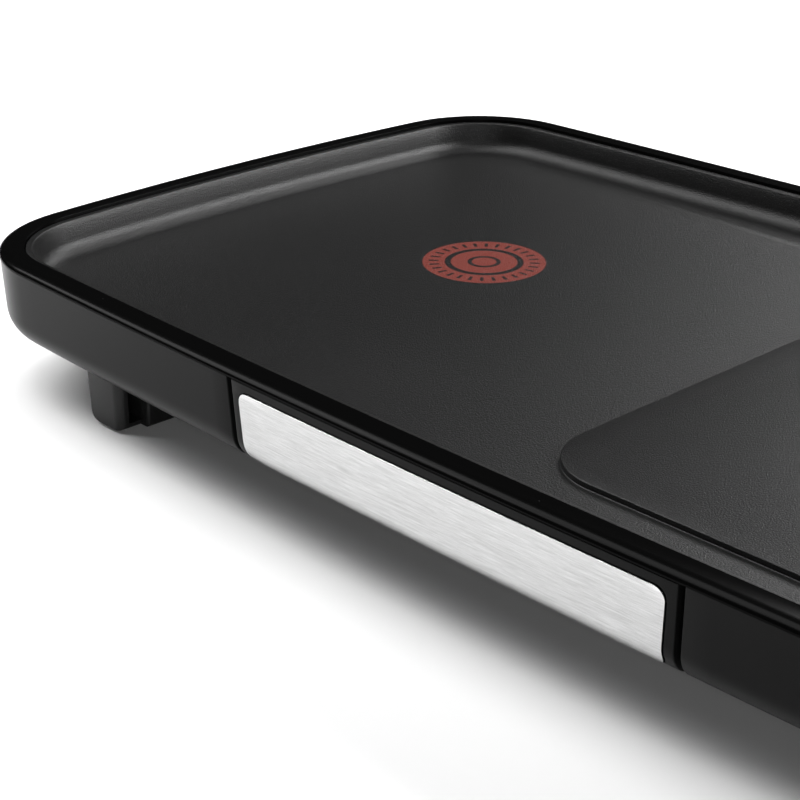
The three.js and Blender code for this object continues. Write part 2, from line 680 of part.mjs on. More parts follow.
place('drip_tray', dripTray(), TRAY_BLACK);
place('drawer_front', drawerFront(), SATIN_BLACK);
place('steel_insert', steelInsert(), BRUSHED_STEEL);
place('tray_rail_left', trayRail(-1), SHEET_METAL);
place('tray_rail_right', trayRail(1), SHEET_METAL);
place('tray_screw_left', screw(TRAY_SCREWS[0], TRAY.front + 8, TRAY.top - 3.4, TRAY.top + 2, 2.8), ZINC);
place('tray_screw_right', screw(TRAY_SCREWS[1], TRAY.front + 8, TRAY.top - 3.4, TRAY.top + 2, 2.8), ZINC);

const foot = footShape();
for (const [name, sx, sy] of FOOT_PLACES) {
  place(`foot_${name}`, mirror(foot, sx, -sy), SATIN_BLACK);
  place(`foot_pad_${name}`, post(sx * PAD.x, sy * PAD.y, 0, FOOT.bottom + 0.9, PAD.radius, 20), RUBBER);
  place(`foot_screw_${name}`, screw(sx * FOOT_SCREW.x, sy * FOOT_SCREW.y, 7.1, 22.5), ZINC);
}
COVER_SCREWS.forEach(([x, y], i) => place(`cover_screw_${i + 1}`, screw(x, y, 18.2, 30), ZINC));

place('control_knob', knobBody(), SATIN_BLACK);
place('knob_shaft', bar(251, KNOB.start + 8.6, KNOB.y, KNOB.z, 2.9, 20), ZINC);
place('thermostat', thermostatBody(), PALE_PLASTIC);
place('lamp_lens', lampLens(), LAMP_RED);
place('cord_gland', cordGland(), TRAY_BLACK);
place('terminal_block', terminalBlock(), PALE_PLASTIC);
place('sensor_bulb', bar(146, 182, 0, 35.4, 3, 16), COPPER);
const capillaryRoute = [
  [182.4, 0, 35.4], [188.4, -1, 34.4], [191, -3, 31], [193.6, -8, 27.6], [210, -40, 27], [226, -66, 27.6],
  [235.6, -70, 29],
];
place('capillary_tube', tube(capillaryRoute, 0.9, 20, 6), COPPER);
place('thermal_fuse', bar(206, 222, 40, 34.4, 2.6, 10), CERAMIC);
const liveRoute = [
  [240.4, 61, 26.8], [243.6, 52, 26.9], [241.4, 40, 27], [241, -20, 27], [243, -46, 27.8],
  [246, -55.7, 28.6],
];
const neutralRoute = [
  [240.4, 79, 26.8], [248, 74, 28.4], [250, 50, 31], [249.6, 29, 34.6], [246.2, 22, ELEMENT_Z],
];
const elementRoute = [[246.2, -22, ELEMENT_Z], [250, -30, 33.6], [250.2, -42, 32.4], [249, -55.7, 33]];
const earthRoute = [[219.6, 70, 26.8], [212, 68, 27.2], [206, 63, 28], [204, 57, 29.1]];
place('lead_live', tube(liveRoute, 1.2, 18, 6), WIRE_BROWN);
place('lead_neutral', tube(neutralRoute, 1.2, 14, 6), WIRE_BLUE);
place('lead_element', tube(elementRoute, 1.2, 12, 6), WIRE_BROWN);
place('earth_strap', tube(earthRoute, 1.2, 10, 6), WIRE_GREEN);

export default griddle;
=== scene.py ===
# %% [markdown]
# # An electric griddle, piece by piece
# A wide table griddle: a bowed plastic housing with a glossy rim, a cast plate that lifts off, and a
# drip tray that pulls out behind a steel-faced front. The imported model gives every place, size and
# moving body, and this lesson rebuilds what shows with finer meshes and gives each piece its finish.

# %% Load the frame
import json
import math

import bmesh
import bpy
from mathutils import Matrix, Vector


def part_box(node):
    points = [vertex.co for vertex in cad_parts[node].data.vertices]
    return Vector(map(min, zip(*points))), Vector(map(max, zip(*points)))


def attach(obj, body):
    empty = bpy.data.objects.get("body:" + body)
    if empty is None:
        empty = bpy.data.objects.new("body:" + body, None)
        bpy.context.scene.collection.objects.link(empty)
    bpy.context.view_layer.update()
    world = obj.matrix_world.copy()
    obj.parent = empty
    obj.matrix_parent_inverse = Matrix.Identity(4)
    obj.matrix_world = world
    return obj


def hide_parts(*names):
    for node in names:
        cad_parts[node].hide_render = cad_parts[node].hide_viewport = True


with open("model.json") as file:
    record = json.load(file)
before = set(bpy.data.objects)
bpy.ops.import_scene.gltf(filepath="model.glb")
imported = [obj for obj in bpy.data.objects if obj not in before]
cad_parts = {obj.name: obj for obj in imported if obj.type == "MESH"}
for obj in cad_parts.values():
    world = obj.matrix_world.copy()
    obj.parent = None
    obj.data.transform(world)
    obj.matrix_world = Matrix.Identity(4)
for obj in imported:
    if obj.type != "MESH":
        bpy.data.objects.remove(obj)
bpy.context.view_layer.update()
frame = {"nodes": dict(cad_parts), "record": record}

nodes = frame["nodes"]
record = frame["record"]

# %% [markdown]
# ## Driving sizes
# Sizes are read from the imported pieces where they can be, so a change there comes through here. They are
# kept in millimetres, measured from the middle of the griddle, because that is how the object would be
# drawn. They become metres only when a mesh is made.

# %% Driving sizes
MM = 0.001


def low_high(node):
    """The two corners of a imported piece, in millimetres."""
    low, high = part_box(node)
    return low / MM, high / MM


rim_low, rim_high = low_high("rim_frame")
wall_low, wall_high = low_high("housing_shell")
cover_low = low_high("base_cover")[0]
steel_low, steel_high = low_high("steel_insert")
tray_low, tray_high = low_high("drip_tray")
knob_low, knob_high = low_high("control_knob")
plate_low, plate_high = low_high("cooking_plate")
MIDDLE_X = (rim_low.x + rim_high.x) / 2
LENGTH = rim_high.x - rim_low.x
DEPTH = rim_high.y - rim_low.y
RIM_TOP = rim_high.z
WALL_TOP = wall_high.z
WALL_BOTTOM = wall_low.z
PLATE_TOP = plate_high.z
PLATE_BOTTOM = plate_low.z
COOK_TOP = PLATE_BOTTOM + 3.4
ZONE_STEP = 2.0
CORNER_RADIUS = 50.0
END_BOW_RADIUS = 1250.0
LONG_BOW_RADIUS = 6250.0
WALL_INSET = 0.3
WALL_DRAFT = 1.0
WALL_ROUND = 11.0
WALL_THICKNESS = 2.2
OPENING_HALF = 92.9
PANEL_HALF = 90.6
PANEL_TAPER = 1.3
STEEL_HALF = (steel_high.x - steel_low.x) / 2


def middle_of(node):
    """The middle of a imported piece, measured from the middle of the griddle."""
    low, high = low_high(node)
    return (low.x + high.x) / 2 - MIDDLE_X, (low.y + high.y) / 2, (low.z + high.z) / 2


print(f"griddle {LENGTH:.1f} x {DEPTH:.1f} mm, rim top {RIM_TOP:.1f} mm, middle at x {MIDDLE_X:.2f} mm")

# %% [markdown]
# ## The camera
# A long lens from the front right corner, looking down by about 24 degrees. It is placed from the middle
# of the rim, so it keeps its framing whatever the height of the feet.

# %% Camera
VIEW_TURN = math.radians(46.72)
VIEW_DROP = math.radians(23.89)
CAMERA_FROM_RIM = Vector((338.65, -478.67, 228.33))
FOCAL_LENGTH = 82.92
SENSOR_WIDTH = 36
NEAREST_SEEN = 0.02


def in_scene(name, data):
    """A new object that holds the data, linked to the scene."""
    made = bpy.data.objects.new(name, data)
    bpy.context.scene.collection.objects.link(made)
    return made


camera_data = bpy.data.cameras.new("camera")
camera_data.lens = FOCAL_LENGTH
camera_data.sensor_width = SENSOR_WIDTH
camera_data.clip_start = NEAREST_SEEN
camera = in_scene("camera", camera_data)
camera.location = (CAMERA_FROM_RIM + Vector((MIDDLE_X, 0, RIM_TOP))) * MM
looking = Vector((-math.sin(VIEW_TURN) * math.cos(VIEW_DROP),
                  math.cos(VIEW_TURN) * math.cos(VIEW_DROP),
                  -math.sin(VIEW_DROP)))
camera.rotation_euler = looking.to_track_quat("-Z", "Y").to_euler()
bpy.context.scene.camera = camera
print("camera at", tuple(round(v, 3) for v in camera.location))

# %% [markdown]
# ## The bowed outline
# Seen from above, every edge of the griddle is the same figure: four shallow arcs joined by four corner
# arcs that touch them smoothly. A spline could imitate it, but arcs give exact offsets. One function
# that takes an inset serves the rim, the wall, the plate and the base alike, and they stay parallel.


# %% Outline helpers
def corner_centre():
    """The centre of the corner arc that touches both bowed sides from inside."""
    end = Vector((LENGTH / 2 - END_BOW_RADIUS, 0))
    long = Vector((0, DEPTH / 2 - LONG_BOW_RADIUS))
    reach_end = END_BOW_RADIUS - CORNER_RADIUS
    reach_long = LONG_BOW_RADIUS - CORNER_RADIUS
    apart = (long - end).length
    along = (reach_end ** 2 - reach_long ** 2 + apart ** 2) / (2 * apart)
    across = math.sqrt(reach_end ** 2 - along ** 2)
    unit = (long - end) / apart
    foot = end + unit * along
    return Vector((foot.x - unit.y * across, foot.y + unit.x * across))


CORNER = corner_centre()
END_ANGLE = math.atan2(CORNER.y, CORNER.x - (LENGTH / 2 - END_BOW_RADIUS))
LONG_ANGLE = math.atan2(CORNER.y - (DEPTH / 2 - LONG_BOW_RADIUS), CORNER.x)
END_STEPS = 14
CORNER_STEPS = 16
LONG_STEPS = 14


def long_side(x, inset):
    """How far the back edge lies from the middle at x. The front edge is its mirror image."""
    return DEPTH / 2 - LONG_BOW_RADIUS + math.sqrt((LONG_BOW_RADIUS - inset) ** 2 - x ** 2)


def end_side(y, inset):
    """How far the right edge lies from the middle at y."""
    return LENGTH / 2 - END_BOW_RADIUS + math.sqrt((END_BOW_RADIUS - inset) ** 2 - y ** 2)


def quarter(inset, stop):
    """The outline from the right end, round the back right corner, to x = stop on the back."""
    points = []
    for i in range(END_STEPS):
        angle = END_ANGLE * i / END_STEPS
        reach = END_BOW_RADIUS - inset
        points.append((LENGTH / 2 - END_BOW_RADIUS + reach * math.cos(angle), reach * math.sin(angle)))
    for i in range(CORNER_STEPS):
        angle = END_ANGLE + (LONG_ANGLE - END_ANGLE) * i / CORNER_STEPS
        reach = CORNER_RADIUS - inset
        points.append((CORNER.x + reach * math.cos(angle), CORNER.y + reach * math.sin(angle)))
    join = CORNER.x + (CORNER_RADIUS - inset) * math.cos(LONG_ANGLE)
    for i in range(LONG_STEPS + 1):
        x = join + (stop - join) * i / LONG_STEPS
        points.append((x, long_side(x, inset)))
    return points


def lap(inset, z, gap=0.0):
    """Once round the outline. With a gap, the lap starts and stops at a doorway in the front."""
    back = quarter(inset, 0.0)
    front = quarter(inset, gap)
    points = [(x, -y) for x, y in reversed(front)] + back[1:]
    points += [(-x, y) for x, y in reversed(back)][1:] + [(-x, -y) for x, y in front][1:]
    if gap == 0.0:
        points.pop()
    return [(x, y, z) for x, y in points]


print("corner arc centre", tuple(round(v, 1) for v in CORNER), "points in a lap", len(lap(0, 0)))

# %% [markdown]
# ## Making meshes
# A lap is a ring of points, and a list of laps is a skin. The helpers below join laps, round the corners
# of a drawn profile, and cut or join solids. Rounding a profile before it is swept costs nothing and
# gives clean even edges. The bevel is kept for edges that a cut has made.


# %% Mesh helpers
def metres(point):
    """A point in millimetres from the middle of the griddle, as a place in the scene."""
    x, y, z = point
    return Vector(((MIDDLE_X + x) * MM, y * MM, z * MM))


def finish_mesh(bm, name):
    """Turns the faces outwards and makes the mesh."""
    bmesh.ops.recalc_face_normals(bm, faces=bm.faces)
    mesh = bpy.data.meshes.new(name)
    bm.to_mesh(mesh)
    bm.free()
    return mesh


def skin(name, laps, ring=True, loop=True):
    """Joins laps into a closed mesh: ring closes each lap, and loop joins the last lap to the first."""
    bm = bmesh.new()
    rows = [[bm.verts.new(metres(point)) for point in one] for one in laps]
    count = len(rows[0])
    for r in range(len(rows) if loop else len(rows) - 1):
        here = rows[r]
        there = rows[(r + 1) % len(rows)]
        for i in range(count if ring else count - 1):
            j = (i + 1) % count
            bm.faces.new((here[i], here[j], there[j], there[i]))
    if not loop:
        bm.faces.new(rows[0])
        bm.faces.new(rows[-1])
    if not ring:
        bm.faces.new([row[0] for row in rows])
        bm.faces.new([row[-1] for row in rows])
    return finish_mesh(bm, name)


def arc(x, z, radius, start, stop, steps):
    """Points on an arc, with angles in degrees."""
    angles = [math.radians(start + (stop - start) * i / steps) for i in range(steps + 1)]
    return [(x + radius * math.cos(a), z + radius * math.sin(a)) for a in angles]


def soften(corners, steps=4):
    """Rounds a closed profile. Each corner is (across, height, reach of the rounding)."""
    soft = []
    for i, (across, height, reach) in enumerate(corners):
        if reach == 0:
            soft.append((across, height))
            continue
        here = Vector((across, height))
        before = Vector(corners[i - 1][:2]) - here
        after = Vector(corners[(i + 1) % len(corners)][:2]) - here
        start = here + before.normalized() * min(reach, 0.45 * before.length)
        stop = here + after.normalized() * min(reach, 0.45 * after.length)
        for s in range(steps + 1):
            t = s / steps
            soft.append(tuple(start * (1 - t) ** 2 + here * 2 * t * (1 - t) + stop * t ** 2))
    return soft


def evaluated(mesh, set_up):
    """The mesh after the modifiers that set_up adds to a stand-in object."""
    stand_in = in_scene("stand_in", mesh)
    helpers = set_up(stand_in)
    bpy.context.view_layer.update()
    graph = bpy.context.evaluated_depsgraph_get()
    made = bpy.data.meshes.new_from_object(stand_in.evaluated_get(graph))
    for each in [stand_in, *helpers]:
        bpy.data.objects.remove(each)
    return made


def combined(mesh, others, operation="DIFFERENCE"):
    """Cuts the other meshes away from a mesh, or joins them to it with operation UNION."""
    def set_up(stand_in):
        helpers = []
        for other in others:
            helper = in_scene("helper", other)
            step = stand_in.modifiers.new("step", "BOOLEAN")
            step.operation = operation
            step.solver = "EXACT"
            step.object = helper
            helpers.append(helper)
        return helpers
    return evaluated(mesh, set_up)


def bevelled(mesh, width, steps=3, angle=50):
    """Rounds the edges that turn by more than an angle in degrees."""
    def set_up(stand_in):
        step = stand_in.modifiers.new("step", "BEVEL")
        step.width = width * MM
        step.segments = steps
        step.limit_method = "ANGLE"
        step.angle_limit = math.radians(angle)
        return []
    return evaluated(mesh, set_up)


def block(x0, x1, y0, y1, z0, z1):
    """A plain box, used as a cutter or rounded afterwards."""
    laps = [[(x0, y0, z), (x1, y0, z), (x1, y1, z), (x0, y1, z)] for z in (z0, z1)]
    return skin("block", laps, loop=False)


def turned(name, profile, place, axis="z", sides=64):
    """Turns (radius, height) points about an axis through place, which runs along z or x."""
    laps = []
    for radius, height in profile:
        ring = []
        for i in range(sides):
            angle = 2 * math.pi * i / sides
            across, up = radius * math.cos(angle), radius * math.sin(angle)
            offset = (across, up, height) if axis == "z" else (height, across, up)
            ring.append(tuple(a + b for a, b in zip(place, offset)))
        laps.append(ring)
    return skin(name, laps, loop=False)


def drill(radius, start, stop, place, axis="z", sides=64):
    """A round cutter along an axis through place."""
    return turned("drill", [(radius, start), (radius, stop)], place, axis, sides)


def rounded_rectangle(x0, x1, y0, y1, radius, grow, z, steps=8):
    """A lap round a rectangle with round corners, moved outwards by grow."""
    points = []
    corners = [(x1, y0, -90), (x1, y1, 0), (x0, y1, 90), (x0, y0, 180)]
    for x, y, turn in corners:
        centre_x = x - math.copysign(radius, x - (x0 + x1) / 2)
        centre_y = y - math.copysign(radius, y - (y0 + y1) / 2)
        points += arc(centre_x, centre_y, radius + grow, turn, turn + 90, steps)
    return [(x, y, z) for x, y in points]


def soft_block(x0, x1, y0, y1, radius, edge, steps=8):
    """A block that is round-cornered from above. Its edge is a list of (growth outwards, height)."""
    laps = [rounded_rectangle(x0, x1, y0, y1, radius, grow, z, steps) for grow, z in edge]
    return skin("soft_block", laps, loop=False)


def tube(name, points, radius, sides=16):
    """A round bar along a list of points, with its section carried along without twisting."""
    path = [Vector(point) for point in points]
    laps = []
    side = None
    for i, here in enumerate(path):
        ahead = (path[min(i + 1, len(path) - 1)] - path[max(i - 1, 0)]).normalized()
        guide = side if side else ahead.orthogonal()
        side = (guide - ahead * guide.dot(ahead)).normalized()
        across = ahead.cross(side)
        angles = [2 * math.pi * k / sides for k in range(sides)]
        spokes = [side * math.cos(a) + across * math.sin(a) for a in angles]
        laps.append([tuple(here + radius * spoke) for spoke in spokes])
    return skin(name, laps, loop=False)


print("mesh helpers ready")

# %% [markdown]
# ## Effects that several finishes share
# Moulded plastic, cast metal and sheet metal differ in the size of their grain, not in its kind, so the
# grain is one node group with its own inputs. Lighter edges (wear, and on the plate a painted highlight),
# fine specks and brush lines are groups too.
# Each group only puts out masks and heights. The shader that uses them stays in the material, where its
# gloss can be read.


# %% Node helpers
def new_group(name, inputs, outputs):
    """An empty node group with named inputs and outputs."""
    group = bpy.data.node_groups.new(name, "ShaderNodeTree")
    for label, value in inputs.items():
        socket = group.interface.new_socket(label, in_out="INPUT", socket_type="NodeSocketFloat")
        socket.default_value = value
    for label in outputs:
        group.interface.new_socket(label, in_out="OUTPUT", socket_type="NodeSocketFloat")
    return group, group.nodes.new("NodeGroupInput"), group.nodes.new("NodeGroupOutput")


def node(tree, kind, settings=None, **inputs):
    """Adds a node. Each input is a value or a socket of another node; i0 and i1 go by their order."""
    made = tree.nodes.new(kind)
    for label, value in (settings or {}).items():
        setattr(made, label, value)
    for label, value in inputs.items():
        socket = made.inputs[int(label[1]) if label in ("i0", "i1") else label.replace("_", " ")]
        if isinstance(value, bpy.types.NodeSocket):
            tree.links.new(value, socket)
        else:
            socket.default_value = value
    return made


def maths(tree, operation, a, b=0.0, clamp=False):
    settings = {"operation": operation, "use_clamp": clamp}
    return node(tree, "ShaderNodeMath", settings, i0=a, i1=b).outputs[0]


def ramp(tree, value, low, high):
    """0 below low, 1 above high, smooth between them."""
    made = node(tree, "ShaderNodeMapRange", {"interpolation_type": "SMOOTHSTEP"},
                Value=value, From_Min=low, From_Max=high)
    return made.outputs["Result"]


def place_of(tree):
    return tree.nodes.new("ShaderNodeTexCoord").outputs["Object"]


def noise(tree, vector, scale, detail=3.0, roughness=0.55):
    return node(tree, "ShaderNodeTexNoise", Vector=vector, Scale=scale, Detail=detail,
                Roughness=roughness).outputs[0]


print("node helpers ready")

# %% [markdown]
# ### The four shared groups
# Grain is a pebbled height and a slow mottle. The edge mask, used for wear and for the painted highlight on
# the plate's lip, compares the true normal with one that is rounded off. Specks keep a share of the cells of
# a cell pattern. Brushing is noise that is stretched along one axis. A picture could do each of these, but a
# pattern worked out from the place on the object has no seams.


# %% Shared effects
def make_grain():
    """Fine pebbled grain, and a slow mottle that changes the gloss over a hand's breadth."""
    group, given, result = new_group("surface_grain", {"Fineness": 2500.0, "Spread": 14.0},
                                     ["Height", "Mottle"])
    where = place_of(group)
    group.links.new(noise(group, where, given.outputs["Fineness"], 2.0), result.inputs["Height"])
    group.links.new(noise(group, where, given.outputs["Spread"], 4.0), result.inputs["Mottle"])
    return group


def make_edge_wear_and_highlight():
    """1 on outer edges, where handling polishes a surface and where the plate's lip gets a painted
    highlight, and 0 on flat stretches.
    """
    group, given, result = new_group("edge_wear_and_highlight", {"Reach": 0.0006, "Break-up": 220.0}, ["Mask"])
    rounded = node(group, "ShaderNodeBevel", {"samples": 4}, Radius=given.outputs["Reach"])
    facing = group.nodes.new("ShaderNodeNewGeometry").outputs["Normal"]
    same = node(group, "ShaderNodeVectorMath", {"operation": "DOT_PRODUCT"},
                i0=rounded.outputs[0], i1=facing)
    turned_away = maths(group, "SUBTRACT", 1.0, same.outputs["Value"])
    patchy = noise(group, place_of(group), given.outputs["Break-up"], 3.0)
    mask = maths(group, "MULTIPLY", ramp(group, turned_away, 0.01, 0.16),
                 ramp(group, patchy, 0.35, 0.65))
    group.links.new(mask, result.inputs["Mask"])
    return group


def make_specks():
    """Small round flecks. Share is the part of the cells that hold one."""
    group, given, result = new_group("specks", {"Per metre": 1500.0, "Size": 0.3, "Share": 0.3},
                                     ["Mask", "Strength"])
    cells = node(group, "ShaderNodeTexVoronoi", Vector=place_of(group),
                 Scale=given.outputs["Per metre"])
    inside = maths(group, "LESS_THAN", cells.outputs["Distance"], given.outputs["Size"])
    pick = node(group, "ShaderNodeSeparateColor", i0=cells.outputs["Color"])
    chosen = maths(group, "LESS_THAN", pick.outputs[0], given.outputs["Share"])
    group.links.new(maths(group, "MULTIPLY", inside, chosen), result.inputs["Mask"])
    group.links.new(pick.outputs[1], result.inputs["Strength"])
    return group


def make_brushing():
    """Lines drawn out along x, as left by an abrasive belt."""
    group, given, result = new_group("brushing", {"Along": 110.0, "Across": 5200.0},
                                     ["Height", "Streak"])
    stretch = group.nodes.new("ShaderNodeCombineXYZ")
    for axis, label in enumerate(("Along", "Across", "Across")):
        group.links.new(given.outputs[label], stretch.inputs[axis])
    drawn = node(group, "ShaderNodeVectorMath", {"operation": "MULTIPLY"}, i0=place_of(group),
                 i1=stretch.outputs[0])
    group.links.new(noise(group, drawn.outputs[0], 1.0, 4.0, 0.7), result.inputs["Height"])
    slower = node(group, "ShaderNodeVectorMath", {"operation": "MULTIPLY"}, i0=drawn.outputs[0],
                  i1=(0.8, 0.4, 0.4))
    group.links.new(noise(group, slower.outputs[0], 1.0, 5.0, 0.75), result.inputs["Streak"])
    return group


GRAIN = make_grain()
EDGE_WEAR_AND_HIGHLIGHT = make_edge_wear_and_highlight()
SPECKS = make_specks()
BRUSHING = make_brushing()
print("shared effects:", ", ".join(g.name for g in (GRAIN, EDGE_WEAR_AND_HIGHLIGHT, SPECKS, BRUSHING)))

# %% [markdown]
# ## Finishes
# Each finish starts from the same small recipe: a base colour, a roughness that wanders a little, grain
# in the bump, and a touch of wear on the edges. The numbers are what make it plastic, ceramic or steel.
# Numbers that are the same all over are set on the shader itself.


# %% Finish helpers
FINISHES = {}
COAT_ROUGHNESS = 0.06
EDGE_REACH = 0.0006


def grey(value):
    return (value, value, value)


def start_finish(slot, colour, roughness, metallic=0.0, coat=0.0, specular=0.5):
    """A material whose shader has plain values, to be varied afterwards."""
    material = bpy.data.materials.new(slot)
    material.use_nodes = True
    tree = material.node_tree
    shader = tree.nodes["Principled BSDF"]
    shader.inputs["Base Color"].default_value = (*colour, 1)
    shader.inputs["Roughness"].default_value = roughness
    shader.inputs["Metallic"].default_value = metallic
    shader.inputs["Coat Weight"].default_value = coat
    shader.inputs["Coat Roughness"].default_value = COAT_ROUGHNESS
    shader.inputs["Specular IOR Level"].default_value = specular
    material.diffuse_color = (*colour, 1)
    FINISHES[slot] = material
    return tree, shader


def use_group(tree, group, **inputs):
    """Places a shared effect in a material with its own values."""
    made = tree.nodes.new("ShaderNodeGroup")
    made.node_tree = group
    for label, value in inputs.items():
        made.inputs[label.replace("_", " ")].default_value = value
    return made


def blend_colours(tree, mask, first, second):
    """The first colour where the mask is 0, and the second where it is 1."""
    mix = node(tree, "ShaderNodeMix", {"data_type": "RGBA"}, i0=mask)
    for socket, colour in ((mix.inputs[6], first), (mix.inputs[7], second)):
        if isinstance(colour, bpy.types.NodeSocket):
            tree.links.new(colour, socket)
        else:
            socket.default_value = (*colour, 1)
    return mix.outputs[2]


def between(tree, mask, low, high):
    """A value that runs from low to high with a mask."""
    return node(tree, "ShaderNodeMapRange", Value=mask, To_Min=low, To_Max=high).outputs["Result"]


def feed(tree, shader, height, depth, **varying):
    """Leads the values that vary over the surface into a shader, with a bump of a depth in metres."""
    for label, socket in varying.items():
        tree.links.new(socket, shader.inputs[label.replace("_", " ")])
    raised = node(tree, "ShaderNodeBump", Height=height, Strength=1.0, Distance=depth)
    tree.links.new(raised.outputs[0], shader.inputs["Normal"])


def grained(slot, colour, wear_and_highlight, roughness, metallic=0.0, fineness=2500.0, depth=0.00003, wander=0.08,
            specular=0.5):
    """A finish with grain, a wandering gloss and lighter worn edges."""
    tree, shader = start_finish(slot, colour, roughness, metallic, specular=specular)
    grain = use_group(tree, GRAIN, Fineness=fineness)
    edges = use_group(tree, EDGE_WEAR_AND_HIGHLIGHT, Reach=EDGE_REACH)
    mottle = grain.outputs["Mottle"]
    tinted = blend_colours(tree, mottle, [c * 0.88 for c in colour], [c * 1.12 for c in colour])
    feed(tree, shader, grain.outputs["Height"], depth,
         Base_Color=blend_colours(tree, edges.outputs["Mask"], tinted, wear_and_highlight),
         Roughness=between(tree, mottle, roughness - wander, roughness + wander))


print("finish helpers ready")

# %% [markdown]
# ### Plain finishes
# Each line below is one finish: its colour, the colour of its worn edges and its roughness, and then
# what is special about it. Black plastic needs very low numbers, because the soft lights add a grey of
# their own.

# %% Plain finishes
grained("satin_housing", grey(0.005), grey(0.012), 0.3, depth=0.00002, wander=0.03, specular=0.08)
grained("base_plastic", grey(0.007), grey(0.016), 0.45, fineness=1600.0, depth=0.00006, specular=0.3)
grained("tray_plastic", grey(0.015), grey(0.03), 0.42)
grained("knob_plastic", grey(0.02), grey(0.05), 0.38)
grained("rubber", grey(0.012), grey(0.03), 0.85, fineness=1200.0, depth=0.0001)
grained("pale_plastic", (0.68, 0.65, 0.58), (0.75, 0.73, 0.68), 0.45, wander=0.05)
grained("ceramic", (0.78, 0.74, 0.66), (0.85, 0.83, 0.78), 0.7, fineness=1800.0, depth=0.00005)
grained("reflector_sheet", (0.33, 0.34, 0.35), grey(0.5), 0.42, metallic=1.0, fineness=700.0)
grained("zinc", (0.5, 0.51, 0.52), grey(0.7), 0.32, metallic=1.0, fineness=900.0)
grained("copper", (0.55, 0.25, 0.12), (0.75, 0.42, 0.25), 0.3, metallic=1.0, fineness=900.0)
grained("wire_brown", (0.1, 0.04, 0.02), (0.14, 0.07, 0.04), 0.5)
grained("wire_blue", (0.03, 0.07, 0.28), (0.06, 0.12, 0.36), 0.5)
grained("wire_green", (0.1, 0.27, 0.05), (0.16, 0.36, 0.1), 0.5)
print(len(FINISHES), "plain finishes")

# %% [markdown]
# ### Glossy rim
# The rim is polished black plastic. Its reflections decide how it looks, so it gets a low roughness,
# very little specular strength and a slight waviness, which is what separates a moulded gloss from
# glass. A few grains of dust are a second colour, since modelled dust would cost faces and show no
# better.


# %% Glossy rim
def gloss_rim():
    black = grey(0.0015)
    tree, shader = start_finish("gloss_rim", black, 0.2, specular=0.03)
    grain = use_group(tree, GRAIN, Fineness=60.0, Spread=30.0)
    dust = use_group(tree, SPECKS, Per_metre=500.0, Size=0.1, Share=0.02)
    feed(tree, shader, grain.outputs["Height"], 0.00002,
         Base_Color=blend_colours(tree, dust.outputs["Mask"], black, grey(0.02)),
         Roughness=between(tree, grain.outputs["Mottle"], 0.17, 0.23))


gloss_rim()
print("glossy rim ready")

# %% [markdown]
# ### Brushed steel
# The steel facing is brushed along its length. Fine lines in the bump spread the reflections across
# them. A slower set of lines changes both the colour and the roughness, so that bright and dull strokes
# lie side by side. An anisotropic shader could spread the light too, but it wouldn't show any strokes.


# %% Brushed steel
def brushed_steel():
    tree, shader = start_finish("brushed_steel", (0.8, 0.8, 0.79), 0.3, metallic=1.0)
    lines = use_group(tree, BRUSHING)
    feed(tree, shader, lines.outputs["Height"], 0.00004,
         Base_Color=blend_colours(tree, lines.outputs["Streak"], grey(0.3), grey(0.97)),
         Roughness=between(tree, lines.outputs["Streak"], 0.12, 0.3))


brushed_steel()
print("brushed steel ready")

# %% [markdown]
# ### Non-stick coating with a printed heat indicator
# The plate is cast metal under a dark sprayed coating with fine light flecks. A round indicator is
# printed on it in brick red: a ring of short strokes round a plain disc. It could be a thin disc laid on
# top, but ink has no height of its own, so it is worked out in the material from the distance and the
# angle to its middle.


# %% Non-stick coating
SPOT_X = -133.75
SPOT_Y = 11.3
SPOT_RADIUS = 24.1
SPOT_STROKES = 28
INK_BAND = (0.64, 1.0)
INK_WINDOWS = (0.74, 0.9)
INK_DISC = (-1.0, 0.54)
BARE_RING = (0.2, 0.27)
INK_RED = (0.12, 0.024, 0.018)


def ring_mask(tree, distance, inner, outer, edge=0.012):
    """1 between two distances from the middle, with soft edges."""
    rise = ramp(tree, distance, inner - edge, inner + edge)
    fall = ramp(tree, distance, outer - edge, outer + edge)
    return maths(tree, "MULTIPLY", rise, maths(tree, "SUBTRACT", 1.0, fall))


def indicator_ink(tree):
    """A mask of the printed ink."""
    parts = node(tree, "ShaderNodeSeparateXYZ", Vector=place_of(tree))
    across = maths(tree, "SUBTRACT", parts.outputs[0], (MIDDLE_X + SPOT_X) * MM)
    along = maths(tree, "SUBTRACT", parts.outputs[1], SPOT_Y * MM)
    squared = maths(tree, "ADD", maths(tree, "POWER", across, 2.0),
                    maths(tree, "POWER", along, 2.0))
    distance = maths(tree, "DIVIDE", maths(tree, "SQRT", squared), SPOT_RADIUS * MM)
    angle = maths(tree, "ARCTAN2", along, across)
    wave = maths(tree, "SINE", maths(tree, "MULTIPLY", angle, SPOT_STROKES))
    strokes = ramp(tree, wave, 0.45, 0.75)
    windows = maths(tree, "MULTIPLY", ring_mask(tree, distance, *INK_WINDOWS), strokes)
    outer_ink = maths(tree, "SUBTRACT", ring_mask(tree, distance, *INK_BAND), windows, clamp=True)
    inner_ink = maths(tree, "SUBTRACT", ring_mask(tree, distance, *INK_DISC),
                      ring_mask(tree, distance, *BARE_RING), clamp=True)
    return maths(tree, "MAXIMUM", outer_ink, inner_ink)


